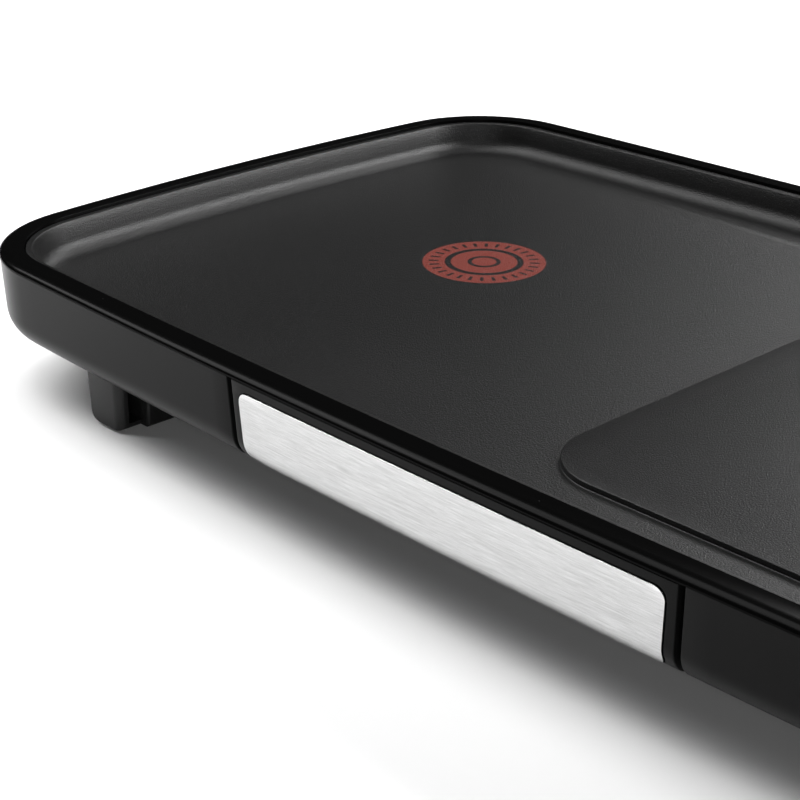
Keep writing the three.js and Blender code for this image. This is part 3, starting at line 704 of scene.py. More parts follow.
def non_stick():
    tree, shader = start_finish("non_stick", grey(0.0045), 0.36, specular=0.26)
    grain = use_group(tree, GRAIN, Fineness=1900.0, Spread=9.0)
    flecks = use_group(tree, SPECKS, Per_metre=2200.0, Size=0.3, Share=0.3)
    # On the plate this edge mask also carries a painted highlight along the lip's inner edge.
    edges = use_group(tree, EDGE_WEAR_AND_HIGHLIGHT, Reach=0.0005)
    mottle = grain.outputs["Mottle"]
    fleck = flecks.outputs["Mask"]
    coat = blend_colours(tree, mottle, grey(0.0035), grey(0.005))
    flecked = blend_colours(tree, maths(tree, "MULTIPLY", fleck, flecks.outputs["Strength"]),
                            coat, grey(0.035))
    # Lighter edges on the coating: some wear, and along the lip's inner edge a painted highlight.
    wear_and_highlight = blend_colours(tree, edges.outputs["Mask"], flecked, grey(0.02))
    ink = maths(tree, "MULTIPLY", indicator_ink(tree),
                between(tree, grain.outputs["Height"], 0.75, 1.0))
    height = maths(tree, "ADD", grain.outputs["Height"], maths(tree, "MULTIPLY", fleck, 0.4))
    feed(tree, shader, height, 0.00022,
         Base_Color=blend_colours(tree, ink, wear_and_highlight, INK_RED),
         Roughness=between(tree, mottle, 0.33, 0.39))


non_stick()
print("non-stick coating ready")

# %% [markdown]
# ### Heated sheath and lamp lens
# The heating rod is steel that has been hot, so it carries straw and blue tints. They could be painted
# along the rod, but a slow mottle gives them without a seam. The lamp lens is clear red plastic. Solid
# red would look painted, so it keeps a plain transmission and lets some light pass.


# %% Heated sheath and lamp lens
def element_sheath():
    tree, shader = start_finish("element_sheath", (0.16, 0.15, 0.14), 0.42, metallic=1.0)
    grain = use_group(tree, GRAIN, Fineness=1500.0, Spread=22.0)
    mottle = grain.outputs["Mottle"]
    tint = ramp(tree, mottle, 0.35, 0.65)
    feed(tree, shader, grain.outputs["Height"], 0.00003,
         Base_Color=blend_colours(tree, tint, (0.2, 0.17, 0.13), (0.1, 0.11, 0.15)),
         Roughness=between(tree, mottle, 0.35, 0.55))


def lamp_red():
    tree, shader = start_finish("lamp_red", (0.4, 0.02, 0.01), 0.1, coat=0.3)
    shader.inputs["Transmission Weight"].default_value = 0.35
    grain = use_group(tree, GRAIN, Fineness=900.0, Spread=300.0)
    feed(tree, shader, grain.outputs["Height"], 0.000008,
         Base_Color=blend_colours(tree, grain.outputs["Mottle"], (0.34, 0.015, 0.008),
                                  (0.46, 0.03, 0.015)))


element_sheath()
lamp_red()
print(len(FINISHES), "finishes in all")

# %% [markdown]
# ## Adding a piece
# Every piece that is made below gets the same treatment: its finish, smooth shading with sharp edges
# kept and the body that it moves with, and the imported pieces that it stands for are hidden. One
# function does it, so none is forgotten.


# %% Adding a piece
def add_piece(name, mesh, slot, body, *stands_for, sharp=32):
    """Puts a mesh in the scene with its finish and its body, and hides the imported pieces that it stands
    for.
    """
    piece = in_scene(name, mesh)
    mesh.materials.clear()
    mesh.materials.append(FINISHES[slot])
    mesh.polygons.foreach_set("use_smooth", [True] * len(mesh.polygons))
    mesh.set_sharp_from_angle(angle=math.radians(sharp))
    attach(piece, body)
    if stands_for:
        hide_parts(*stands_for)
    print(f"{name}: {len(mesh.polygons)} faces on {body}")


print("pieces can be added")

# %% [markdown]
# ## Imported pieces
# Many inner pieces already have the right shape: rails, supports, posts and blocks. They keep their
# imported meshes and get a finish. A few with razor edges also get a bevel modifier, after a weld modifier
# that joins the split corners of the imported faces, since a bevel can't round an edge whose two faces
# don't share it.

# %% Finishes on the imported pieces
for row in record["subparts"]:
    packed = nodes[row["node"]]
    packed.data.materials.clear()
    packed.data.materials.append(FINISHES[row["material_slot"]])

SUPPORTS = [f"element_support_{end}_{side}" for end in ("front", "rear") for side in ("left", "right")]
EASED = {"thermostat": 0.6, "terminal_block": 0.5, "tray_rail_left": 0.2, "tray_rail_right": 0.2,
         **{support: 0.4 for support in SUPPORTS}}
for name, width in EASED.items():
    nodes[name].modifiers.new("welded", "WELD").merge_threshold = 0.001 * MM
    eased = nodes[name].modifiers.new("eased_edges", "BEVEL")
    eased.width = width * MM
    eased.segments = 2
    eased.limit_method = "ANGLE"
    eased.angle_limit = math.radians(50)
print("finishes on", len(record["subparts"]), "packed pieces")

# %% [markdown]
# ## Housing
# The housing is one moulding: a wall with a slight draft that rolls under into a flat flange. A doorway
# is left in the front for the drawer. Sweeping the wall's section from one side of the doorway to the
# other gives the opening without a cut, and its sides can lean in by the same taper as the drawer.


# %% Wall section
WALL_TURN_Z = WALL_BOTTOM + WALL_ROUND
WALL_TURN_INSET = WALL_INSET + WALL_DRAFT + WALL_ROUND
STRAIGHT_DROP = WALL_TOP - WALL_TURN_Z


def wall_point(drop, depth):
    """A point on the wall's section: drop is measured down over its surface, and depth into it."""
    if drop <= STRAIGHT_DROP:
        return WALL_INSET + WALL_DRAFT * drop / STRAIGHT_DROP + depth, WALL_TOP - drop
    turn = (drop - STRAIGHT_DROP) / WALL_ROUND
    reach = WALL_ROUND - depth
    return WALL_TURN_INSET - reach * math.cos(turn), WALL_TURN_Z - reach * math.sin(turn)


def wall_inset(z):
    """How far the outer wall is set in at a height."""
    if z >= WALL_TURN_Z:
        return WALL_INSET + WALL_DRAFT * (WALL_TOP - z) / STRAIGHT_DROP
    return WALL_TURN_INSET - math.sqrt(WALL_ROUND ** 2 - (WALL_TURN_Z - z) ** 2)


def tapered(half, z, top, bottom):
    """The half width of the front panel or its doorway at a height."""
    return half - PANEL_TAPER * (top - z) / (top - bottom)


def wall_face(top):
    """The outer face from a height down to the flat underside."""
    straight = [(wall_inset(z), z) for z in (top, top - 0.5, top - 4, top - 10, top - 16)]
    drops = [STRAIGHT_DROP + math.radians(90 * i / 12) * WALL_ROUND for i in range(13)]
    return straight + [wall_point(drop, 0) for drop in drops]


print(f"the wall is straight for {STRAIGHT_DROP:.1f} mm and then turns under")

# %% Housing shell
SCREW_BORE = 1.75
COVER_SCREWS = [middle_of(f"cover_screw_{i}")[:2] for i in range(1, 7)]
END_WALL_BORES = {"control_knob": 4.6, "lamp_lens": 3.3, "cord_gland": 6.3}
END_WALL_SPAN = (255, 275)
CUT_EDGE = 0.35
CUT_EDGE_ANGLE = 70


def housing_mesh():
    inner_radius = WALL_ROUND - WALL_THICKNESS
    section = [
        *wall_face(WALL_TOP),
        (25.5, WALL_BOTTOM), (26, WALL_BOTTOM + 0.5), (26, WALL_BOTTOM + WALL_THICKNESS - 0.4),
        (25.6, WALL_BOTTOM + WALL_THICKNESS),
        *arc(WALL_TURN_INSET, WALL_TURN_Z, inner_radius, 270, 180, 8),
        (2.9, WALL_TOP),
    ]
    laps = [lap(inset, z, tapered(OPENING_HALF, z, WALL_TOP + 1, WALL_BOTTOM - 1))
            for inset, z in section]
    shell = bevelled(skin("housing_shell", laps, ring=False), CUT_EDGE, 3, CUT_EDGE_ANGLE)
    bores = [drill(SCREW_BORE, WALL_BOTTOM - 1, WALL_BOTTOM + 6, (x, y, 0)) for x, y in COVER_SCREWS]
    for name, radius in END_WALL_BORES.items():
        _, y, z = middle_of(name)
        bores.append(drill(radius, *END_WALL_SPAN, (0, y, z), axis="x"))
    return combined(shell, bores)


add_piece("housing", housing_mesh(), "satin_housing", "base", "housing_shell")

# %% [markdown]
# ## Rim
# The rim is a separate glossy frame that caps the wall. Its outer third rolls off in a flat ellipse that
# ends in a fine crease, the rest is level, and a step inside carries the plate's lip. A bevel would give
# a round edge, so the profile is drawn point by point and swept round the outline.

# %% Rim frame
RIM_WIDTH = 9.6
RIM_HEIGHT = 2.2
RIM_ROUND_WIDTH = 4.3
LEDGE_TOP = 52.4
LEDGE_INSET = 11.4
LEDGE_UNDER = LEDGE_TOP - 1.8
SKIRT_OUTER = 4.6
SKIRT_INNER = 6.4
SKIRT_BOTTOM = 47.5
SKIRT_GAP = 0.06


def rim_mesh():
    low = RIM_TOP - RIM_HEIGHT
    foot = WALL_TOP + SKIRT_GAP
    roll = [(0, foot)]
    for i in range(11):
        angle = math.radians(180 - 90 * i / 10)
        roll.append((RIM_ROUND_WIDTH * (1 + math.cos(angle)), low + RIM_HEIGHT * math.sin(angle)))
    section = roll + soften([
        (RIM_WIDTH, RIM_TOP, 0.12),
        (RIM_WIDTH, LEDGE_TOP, 0.2),
        (LEDGE_INSET, LEDGE_TOP, 0.3),
        (LEDGE_INSET, LEDGE_UNDER, 0.3),
        (SKIRT_INNER, LEDGE_UNDER, 0.2),
        (SKIRT_INNER, SKIRT_BOTTOM, 0.3),
        (SKIRT_OUTER, SKIRT_BOTTOM, 0.3),
        (SKIRT_OUTER, foot, 0.2),
    ])
    return skin("rim_frame", [lap(inset, z) for inset, z in section])


add_piece("rim", rim_mesh(), "gloss_rim", "base", "rim_frame")

# %% [markdown]
# ## Cooking plate
# The plate is a shallow casting. Its lip shows as a thin line inside the rim, a textured wall drops to a
# broad fillet, and the right half stands 2 mm proud of the channel that leads fat to the drain slot. It
# could be pushed and pulled out of one grid, but laps keep the fillet even. The raised half and the slot
# are joined and cut with soft edges of their own.

# %% Cooking plate
ZONE_LEFT = 0.9
ZONE_RIGHT = LENGTH / 2 - 24
ZONE_HALF_DEPTH = 108.5
ZONE_RADIUS = 25.0
DRAIN = (26.0, 64.0, 109.5, 116.5)
DRAIN_RADIUS = 3.4
FILLET_MIDDLE = (20.8, COOK_TOP + 6.3)
FILLET_REACH = (6.6, 6.3)


def casting_mesh():
    """The plate without its raised half. Its section runs from the underside over the lip to the floor."""
    angles = [math.radians(a) for a in range(182, 271, 8)]
    fillet = [(FILLET_MIDDLE[0] + FILLET_REACH[0] * math.cos(a),
               FILLET_MIDDLE[1] + FILLET_REACH[1] * math.sin(a)) for a in angles]
    section = [
        (25.0, PLATE_BOTTOM), (23.8, PLATE_BOTTOM + 0.1), (17.6, 40.2), (15.2, 41.7), (13.2, 44.2),
        (12.2, 46.4), (11.9, 47.8), (11.7, 52.5), (11.5, 52.7), (10.3, 52.7), (10.1, 52.9),
        (10.1, PLATE_TOP - 0.15), (10.14, PLATE_TOP - 0.04), (10.25, PLATE_TOP), (11.9, PLATE_TOP),
        (12.25, PLATE_TOP - 0.05), (12.5, PLATE_TOP - 0.22), (12.65, PLATE_TOP - 0.5), (13.2, 52.4),
        *fillet,
        (26, COOK_TOP),
    ]
    return skin("cooking_plate", [lap(inset, z) for inset, z in section], loop=False)


def plate_mesh():
    step = [(0.3, -1), (0.3, 0.02), (0.14, 0.16), (0.08, 1.5), (0.02, 1.75), (-0.08, 1.92), (-0.3, 2)]
    zone = soft_block(ZONE_LEFT, ZONE_RIGHT, -ZONE_HALF_DEPTH, ZONE_HALF_DEPTH, ZONE_RADIUS,
                      [(grow, COOK_TOP + rise * ZONE_STEP / 2) for grow, rise in step], 14)
    drain = soft_block(*DRAIN, DRAIN_RADIUS,
                       [(0, PLATE_BOTTOM - 3), (0, COOK_TOP - 0.9), (0.12, COOK_TOP - 0.5),
                        (0.4, COOK_TOP - 0.15), (0.8, COOK_TOP + 0.02), (0.8, COOK_TOP + 5)])
    return combined(combined(casting_mesh(), [zone], "UNION"), [drain])


add_piece("plate", plate_mesh(), "non_stick", "plate", "cooking_plate", sharp=40)

# %% [markdown]
# ## Drawer front and its steel facing
# The middle of the front wall is a separate moulding that comes out with the tray. It carries on the
# wall's section between two narrow splits. A steel strip lies in a shallow recess and bends under with
# the wall. A flat strip could be bent with a modifier, but both the recess and the strip are patches
# instead: rows of points that follow the wall, each as wide as the taper and the rounded corners allow.


# %% Front patches
def patch(name, half, top_drop, bottom_drop, corner, outer, inner, columns=24):
    """A curved plate between two depths behind the wall's face, with tapered sides."""
    turns = [math.sin(math.radians(90 * i / 6)) for i in range(6)]
    near = [corner * (1 - math.sqrt(1 - s * s)) for s in turns]
    span = bottom_drop - top_drop
    middle = [corner + (span - 2 * corner) * i / 12 for i in range(13)]
    offsets = near + middle + [span - d for d in reversed(near)]
    top_z = wall_point(top_drop, 0)[1]
    bottom_z = wall_point(bottom_drop, 0)[1]
    bm = bmesh.new()
    sheets = []
    for depth in (outer, inner):
        rows = []
        for offset in offsets:
            inset, z = wall_point(top_drop + offset, depth)
            face_z = wall_point(top_drop + offset, 0)[1]
            short = corner - min(offset, span - offset, corner)
            cut_back = corner - math.sqrt(corner ** 2 - short ** 2)
            width = tapered(half, face_z, top_z, bottom_z) - cut_back
            xs = [width * (2 * i / columns - 1) for i in range(columns + 1)]
            rows.append([bm.verts.new(metres((x, -long_side(x, inset), z))) for x in xs])
        sheets.append(rows)
    front, back = sheets
    last = len(front) - 1
    border = [(0, c) for c in range(columns + 1)] + [(r, columns) for r in range(1, last + 1)]
    border += [(last, c) for c in reversed(range(columns))] + [(r, 0) for r in reversed(range(1, last))]
    for rows in sheets:
        for r in range(last):
            for c in range(columns):
                bm.faces.new((rows[r][c], rows[r][c + 1], rows[r + 1][c + 1], rows[r + 1][c]))
    for i, (r, c) in enumerate(border):
        r2, c2 = border[(i + 1) % len(border)]
        bm.faces.new((front[r][c], front[r2][c2], back[r2][c2], back[r][c]))
    return finish_mesh(bm, name)


STEEL_TOP_DROP = WALL_TOP - steel_high.z
STEEL_BOTTOM_DROP = STRAIGHT_DROP + WALL_ROUND * math.radians(48)
print(f"the steel covers {STEEL_BOTTOM_DROP - STEEL_TOP_DROP:.1f} mm of the wall's section")


# %% Drawer front
STEEL_DEPTHS = (-0.4, 1.05)
STEEL_CORNER = 4.0
RECESS_DEPTHS = (-2.5, 1.35)
RECESS_CORNER = 4.4
RECESS_GAP = 0.5


def drawer_mesh():
    top = WALL_TOP - 0.3
    section = [
        *wall_face(top),
        (17.5, WALL_BOTTOM), (18, WALL_BOTTOM + 0.5),
        (18, WALL_BOTTOM + 2.9), (17.5, WALL_BOTTOM + 3.4),
        *arc(WALL_TURN_INSET, WALL_TURN_Z, 7.6, 270, 180, 8),
        (4.0, top),
    ]
    laps = []
    for inset, z in section:
        half = tapered(PANEL_HALF, z, WALL_TOP, WALL_BOTTOM - 1)
        xs = [half * (i / 16 - 1) for i in range(33)]
        laps.append([(x, -long_side(x, inset), z) for x in xs])
    front = bevelled(skin("drawer_front", laps, ring=False), CUT_EDGE, 3, CUT_EDGE_ANGLE)
    recess = patch("recess", STEEL_HALF + RECESS_GAP, STEEL_TOP_DROP - RECESS_GAP,
                   STEEL_BOTTOM_DROP + RECESS_GAP, RECESS_CORNER, *RECESS_DEPTHS)
    shelf = block(-62, 62, -144.5, tray_low.y + 13, tray_high.z + 0.1, tray_high.z + 2.6)
    return combined(combined(front, [bevelled(shelf, 0.3)], "UNION"), [recess])


add_piece("drawer_face", drawer_mesh(), "satin_housing", "drawer", "drawer_front")
steel = patch("steel_insert", STEEL_HALF, STEEL_TOP_DROP, STEEL_BOTTOM_DROP, STEEL_CORNER, *STEEL_DEPTHS)
add_piece("steel_facing", bevelled(steel, 0.6, 4), "brushed_steel", "drawer", "steel_insert")

# %% [markdown]
# ## Drip tray
# The tray is a shallow moulded dish with a flange that runs in the rails. A box could be hollowed out,
# but sweeping its section round a rounded rectangle makes the dish's corners round inside and out. The
# flange would stick out in front too, where the drawer front stands, so the laps are held back to the
# front wall of the dish, each a little further than the last, so that no two lie on each other.


# %% Drip tray
TRAY_HALF = 82.0
TRAY_BACK = 120.0
TRAY_CORNER = 10
TRAY_WALL = 1.6
LAP_STEP = 0.02


def tray_mesh():
    front, low, high, wall = tray_low.y, tray_low.z, tray_high.z, TRAY_WALL
    outside = [(-3.0, low), (-1.6, low + 0.2), (-0.6, low + 0.8), (-0.1, low + 2), (0, low + 3.2),
               (0, high - 1.6)]
    flange = soften([(0, high - 1.4, 0), (2.6, high - 1.4, 0.4), (2.6, high, 0.5), (-wall, high, 0.6)])
    inside = [(-wall, low + 4.4), (-wall - 0.3, low + 3.2), (-wall - 1.2, low + 2.2),
              (-wall - 3, low + wall)]
    laps = [rounded_rectangle(-TRAY_HALF, TRAY_HALF, front, TRAY_BACK, TRAY_CORNER, grow, z)
            for grow, z in [*outside, *flange, *inside]]
    held_back = [[(x, max(y, front + LAP_STEP * i), z) for x, y, z in ring]
                 for i, ring in enumerate(laps)]
    return skin("drip_tray", held_back, loop=False)


add_piece("tray", tray_mesh(), "tray_plastic", "drawer", "drip_tray")

# %% [markdown]
# ## Base cover
# The underside is closed by a dished cover with a flange that the screws pass through. Two groups of
# slots let air in under the heater, and a notch at the front lets the drawer pass. The slots could be
# left open between rows of faces, but cutters with soft edges give each slot a rounded mouth.


# %% Base cover
FLANGE_UNDER = 20.1
FLANGE_TOP = 22.1
VENT_MIDDLE = 205
VENT_PITCH = 14
VENT_HALF = (21, 2.2)
VENT_RADIUS = 2.1


def base_cover_mesh():
    floor = cover_low.z
    inside = floor + 2.0
    lower = soften([
        (27.4, floor, 0), (27, floor + 0.8, 0), (25.8, FLANGE_UNDER, 0.4),
        (16.1, FLANGE_UNDER, 0.4), (16.1, FLANGE_TOP, 0.3), (27.8, FLANGE_TOP, 0.5), (28.8, inside + 0.8, 0),
    ])
    section = [(30.5, floor), (28.4, floor + 0.12), *lower, (29.6, inside + 0.15), (31, inside)]
    shell = skin("base_cover", [lap(inset, z) for inset, z in section], loop=False)
    cuts = [block(-94, 94, -170, -120.2, inside, 30), block(-94, 94, -170, -122.6, 10, 30)]
    vent_edge = [(0.5, floor - 1), (0.5, floor), (0, floor + 0.5), (0, inside + 1)]
    half_x, half_y = VENT_HALF
    for x in (-VENT_MIDDLE, VENT_MIDDLE):
        for y in (VENT_PITCH * row for row in range(-2, 3)):
            cuts.append(soft_block(x - half_x, x + half_x, y - half_y, y + half_y, VENT_RADIUS,
                                   vent_edge, 6))
    cuts += [drill(1.8, 19, 23, (x, y, 0), sides=24) for x, y in COVER_SCREWS]
    return combined(shell, cuts)


add_piece("underside_cover", base_cover_mesh(), "base_plastic", "base", "base_cover", sharp=40)

# %% [markdown]
# ## Feet
# Each foot is a moulded block under a corner: a front plate with a rounded inner edge, an upright groove
# behind it, and a heel that stands a little further in. It stands on a rubber pad. A bevel would round
# every edge alike, so an outline seen from the front is extruded and then trimmed by a plan, which
# rounds the lower edges and the upright edge by their own amounts. One foot is built and mirrored to the
# other three places.

# %% Feet
FOOT_LEFT = 175.0
FOOT_RIGHT = 194.0
FOOT_FRONT = -135.0
FOOT_BACK = -95.0
FOOT_BOTTOM = 1.2
FOOT_TOP = WALL_BOTTOM - 0.1
FOOT_TAPER = 1.5
PLATE_ROUND = 3.8
HEEL_PROUD = 4.0
HEEL_BEHIND = 10.2
HEEL_ROUND = 1.2
GROOVE_BEHIND = 4.2
GROOVE_WIDTH = 6
GROOVE_BOTTOM = 3.6
TRIM = 0.01
PAD_X, PAD_Y, PAD_RADIUS = 184.5, 102.8, 5.4
FOOT_SCREW_Y = 113.6


def foot_block(side, front, reach):
    """A block with rounded lower edges, and an upright inner front edge rounded by reach."""
    outline = soften([
        (side, FOOT_TOP, 0), (side, FOOT_BOTTOM, 2.4),
        (FOOT_RIGHT - FOOT_TAPER, FOOT_BOTTOM, 4.5), (FOOT_RIGHT, FOOT_TOP, 0),
    ], steps=8)
    solid = skin("foot", [[(x, y, z) for x, z in outline] for y in (front, FOOT_BACK)], loop=False)
    x0, y0 = side + TRIM, front + TRIM
    plan = [*arc(x0 + reach, y0 + reach, reach, 180, 270, 10),
            (x0 + 30, y0), (x0 + 30, y0 + 50), (x0, y0 + 50)]
    prism = skin("plan", [[(x, y, z) for x, y in plan] for z in (-1, 40)], loop=False)
    return combined(solid, [prism], "INTERSECT")


def foot_mesh():
    heel = foot_block(FOOT_LEFT - HEEL_PROUD, FOOT_FRONT + HEEL_BEHIND, HEEL_ROUND)
    body = combined(foot_block(FOOT_LEFT, FOOT_FRONT, PLATE_ROUND), [heel], "UNION")
    y0 = FOOT_FRONT + GROOVE_BEHIND
    y1 = y0 + GROOVE_WIDTH
    arch = [(y0, GROOVE_BOTTOM), (y1, GROOVE_BOTTOM), (y1, FOOT_TOP - 7),
            *arc(y0 + GROOVE_WIDTH / 2, FOOT_TOP - 7, GROOVE_WIDTH / 2, 0, 180, 8)[1:]]
    groove = skin("groove", [[(x, y, z) for y, z in arch] for x in (FOOT_LEFT - 6, FOOT_LEFT + 9)],
                  loop=False)
    body = bevelled(combined(body, [groove]), 0.5, 3, 60)
    seat = drill(PAD_RADIUS + 0.2, 0.2, 2.2, (PAD_X, -PAD_Y, 0))
    well = drill(3.7, 0.2, 9.1, (PAD_X, -FOOT_SCREW_Y, 0), sides=40)
    hole = drill(1.8, 8, 30, (PAD_X, -FOOT_SCREW_Y, 0), sides=24)
    dish = [(29.8, cover_low.z - 0.2), (26.8, 16.2), (25.5, 19.9), (15.8, 19.9), (15.8, 30)]
    cover = skin("dish", [lap(inset, z) for inset, z in dish], loop=False)
    return combined(body, [seat, well, hole, cover])


def mirrored(mesh, side_x, side_y, name):
    """A copy of a mesh on another side of the middle planes, still facing out."""
    copy = mesh.copy()
    copy.name = name
    middle = Matrix.Translation((MIDDLE_X * MM, 0, 0))
    copy.transform(middle @ Matrix.Diagonal((side_x, side_y, 1, 1)) @ middle.inverted())
    if side_x * side_y < 0:
        copy.flip_normals()
    return copy


FOOT_SIDES = {"front_left": (-1, -1), "front_right": (1, -1), "rear_left": (-1, 1), "rear_right": (1, 1)}
PAD_PROFILE = [(PAD_RADIUS - 0.7, 0), (PAD_RADIUS - 0.2, 0.12), (PAD_RADIUS, 0.5), (PAD_RADIUS, 2.0)]
foot = foot_mesh()
for name, (side_x, side_y) in FOOT_SIDES.items():
    add_piece(f"{name}_foot", mirrored(foot, side_x, -side_y, name), "base_plastic", "base",
              f"foot_{name}", sharp=35)
    pad = turned(f"pad_{name}", PAD_PROFILE, (side_x * PAD_X, side_y * PAD_Y, 0), sides=48)
    add_piece(f"{name}_pad", pad, "rubber", "base", f"foot_pad_{name}")

# %% [markdown]
# ## Screws
# All screws are pan heads with a cross recess, seen from below. Their threads are hidden, so one
# function turns a plain shank and a head and cuts the cross.


# %% Screws
SHANK_RADIUS = 1.5
CROSS_HALF = 0.35


def screw_mesh(name):
    low, high = low_high(name)
    x, y, _ = middle_of(name)
    radius = (high.x - low.x) / 2
    head = [(0.05, 0), (radius * 0.55, 0.1), (radius * 0.85, 0.35), (radius, 0.8), (radius, 1.7),
            (SHANK_RADIUS, 1.8)]
    profile = [(r, low.z + z) for r, z in head] + [(SHANK_RADIUS, high.z - 1.5), (0.1, high.z)]
    shank = turned(name, profile, (x, y, 0), sides=32)
    long = radius * 0.6
    cross = [block(x - half_x, x + half_x, y - half_y, y + half_y, low.z - 1, low.z + 1)
             for half_x, half_y in ((long, CROSS_HALF), (CROSS_HALF, long))]
    return combined(shank, cross)


BASE_SCREWS = [f"cover_screw_{i}" for i in range(1, 7)] + [f"foot_screw_{n}" for n in FOOT_SIDES]
for body, names in (("base", BASE_SCREWS), ("drawer", ["tray_screw_left", "tray_screw_right"])):
    for name in names:
        add_piece(f"{name}_pan_head", screw_mesh(name), "zinc", body, name)

# %% [markdown]
# ## Control end
# The right end wall carries the thermostat knob with a row of graduations, a red lamp and the gland
# where the supply cord goes in. The knob is turned like the real one's tool, and its grip, which isn't
# round, is a softened block that is joined on.

# %% Knob
_, KNOB_Y, KNOB_Z = middle_of("control_knob")
KNOB_RADIUS = (knob_high.y - knob_low.y) / 2
KNOB_START = knob_low.x - MIDDLE_X
KNOB_END = knob_high.x - MIDDLE_X
KNOB_BORE = 3.2
GRIP_HALF = 1.6


def knob_mesh():
    start, face, r = KNOB_START, KNOB_END - 0.6, KNOB_RADIUS
    profile = [(KNOB_BORE, start), (r - 0.9, start), (r - 0.25, start + 0.25), (r, start + 0.9),
               (r, start + 2.0), (r - 0.2, start + 2.4), (r - 1.2, start + 2.9), (r - 1.7, start + 3.4),
               (r - 2.5, face - 1.6), (r - 2.8, face - 0.8), (r - 3.4, face - 0.2), (r - 4.2, face)]
    body = turned("knob", profile, (0, KNOB_Y, KNOB_Z), axis="x", sides=96)
    grip = block(start + 4, KNOB_END, KNOB_Y - GRIP_HALF, KNOB_Y + GRIP_HALF, KNOB_Z - 7.6, KNOB_Z + 9)
    bore = drill(KNOB_BORE, start - 1, start + 9, (0, KNOB_Y, KNOB_Z), axis="x")
    return combined(combined(body, [bevelled(grip, 0.5, 4)], "UNION"), [bore])


add_piece("knob", knob_mesh(), "knob_plastic", "knob", "control_knob", sharp=40)

# %% [markdown]
# ### Graduations and pointer
# The strokes round the knob are printed on the wall, which is slightly bowed. Paint could be worked out
# in the material, but thin curved solids that follow the wall stay sharp, and they are cheap.


# %% Graduations and pointer
GRADUATIONS = 11
KNOB_SWEEP = 270
STROKE_HALF = 0.35
STROKE_START = 1.4
STROKE_LIFTS = (0.02, 0.12)
LONG_STROKE = 2.6
SHORT_STROKE = 1.5


def graduation(turn, reach):
    """A short printed stroke on the end wall, pointing at the knob's axis."""
    bm = bmesh.new()
    rows = []
    outward = Vector((math.sin(turn), math.cos(turn)))
    sideways = Vector((outward.y, -outward.x)) * STROKE_HALF
    for lift in STROKE_LIFTS:
        for side in (-1, 1):
            row = []
            for i in range(6):
                spot = outward * (KNOB_RADIUS + STROKE_START + reach * i / 5) + sideways * side
                y, z = KNOB_Y + spot.x, KNOB_Z + spot.y
                row.append(bm.verts.new(metres((end_side(y, wall_inset(z) - lift), y, z))))
            rows.append(row)
    order = [rows[0], rows[1], rows[3], rows[2]]
    for a, b in zip(order, order[1:] + order[:1]):
        for i in range(5):
            bm.faces.new((a[i], a[i + 1], b[i + 1], b[i]))
    bm.faces.new([row[0] for row in order])
    bm.faces.new([row[-1] for row in order])
    return finish_mesh(bm, "graduation")


def joined(name, meshes):
    """Several meshes as one."""
    bm = bmesh.new()
    for mesh in meshes:
        bm.from_mesh(mesh)
    return finish_mesh(bm, name)


strokes = []
for i in range(GRADUATIONS):
    turn = math.radians(KNOB_SWEEP * (i / (GRADUATIONS - 1) - 0.5))
    strokes.append(graduation(turn, LONG_STROKE if i % 5 == 0 else SHORT_STROKE))
add_piece("knob_graduations", joined("graduations", strokes), "pale_plastic", "base")
pointer = block(KNOB_END - 0.4, KNOB_END - 0.02, KNOB_Y - 0.45, KNOB_Y + 0.45, KNOB_Z + 3, KNOB_Z + 8.2)
add_piece("knob_pointer", bevelled(pointer, 0.1), "pale_plastic", "knob")

# %% [markdown]
# ### Lamp and gland
# Both are round pieces in holes in the end wall: a domed lens with a collar, and a sleeve with a soft
# mouth. They are turned from profiles that start at their inner ends.


# %% Lamp and gland
def inner_end(name):
    """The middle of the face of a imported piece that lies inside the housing."""
    _, y, z = middle_of(name)
    return low_high(name)[0].x - MIDDLE_X, y, z


def lamp_mesh():
    profile = [(0.05, 0), (2.4, 0), (2.4, 6.2), (3.9, 6.2), (3.9, 6.9), (3.6, 7.2), (2.9, 7.7),
               (1.8, 8.05), (0.05, 8.2)]
    return turned("lamp_lens", profile, inner_end("lamp_lens"), axis="x", sides=48)


def gland_mesh():
    place = inner_end("cord_gland")
    sleeve = [(6, 0), (6, 6.4), (8, 6.4), (8, 8.2), (7.6, 8.7), (6.6, 9.5), (5.8, 9.6), (4.6, 9.6)]
    mouth = [(4, -1), (4, 8.6), (4.8, 9.62), (4.8, 10)]
    return combined(turned("cord_gland", sleeve, place, axis="x"),
                    [turned("mouth", mouth, place, axis="x", sides=48)])


add_piece("lamp", lamp_mesh(), "lamp_red", "base", "lamp_lens")
add_piece("gland", gland_mesh(), "tray_plastic", "base", "cord_gland")

# %% [markdown]
# ## Heater
# Under the plate lies one bent heating rod on a pressed reflector. Both show when the plate is lifted.
# The rod could be a curve object with a bevel, but a tube swept along straight runs with round corners
# gives a plain mesh at once. The reflector is a sheet pressed from the same outline as the rim.

# %% Heater
ELEMENT_RADIUS = 3.3
ELEMENT_BEND = 20
ELEMENT_Z = middle_of("heating_element")[2]
ELEMENT_RUNS = [(231, 22), (200, 22), (200, 94), (-206, 94), (-206, 34), (128, 34),
                (128, -34), (-206, -34), (-206, -94), (200, -94), (200, -22), (231, -22)]
POSTS = [(-130, -62), (130, -62), (-130, 62), (130, 62)]
BULB_HOLE = (191, -3)
SHEET = 0.7


def rounded_route(corners, reach, z, steps=8):
    """Straight runs whose corners are rounded in plan, without doubled points."""
    points = [Vector((*corner, z)) for corner in corners]
    route = [points[0]]
    for before, here, after in zip(points, points[1:], points[2:]):
        start = here + (before - here).normalized() * reach
        stop = here + (after - here).normalized() * reach
        for s in range(steps + 1):
            t = s / steps
            route.append(start * (1 - t) ** 2 + here * 2 * t * (1 - t) + stop * t ** 2)
    route.append(points[-1])
    tidy = [route[0]]
    for point in route[1:]:
        if (point - tidy[-1]).length > 0.01:
            tidy.append(point)
    return tidy


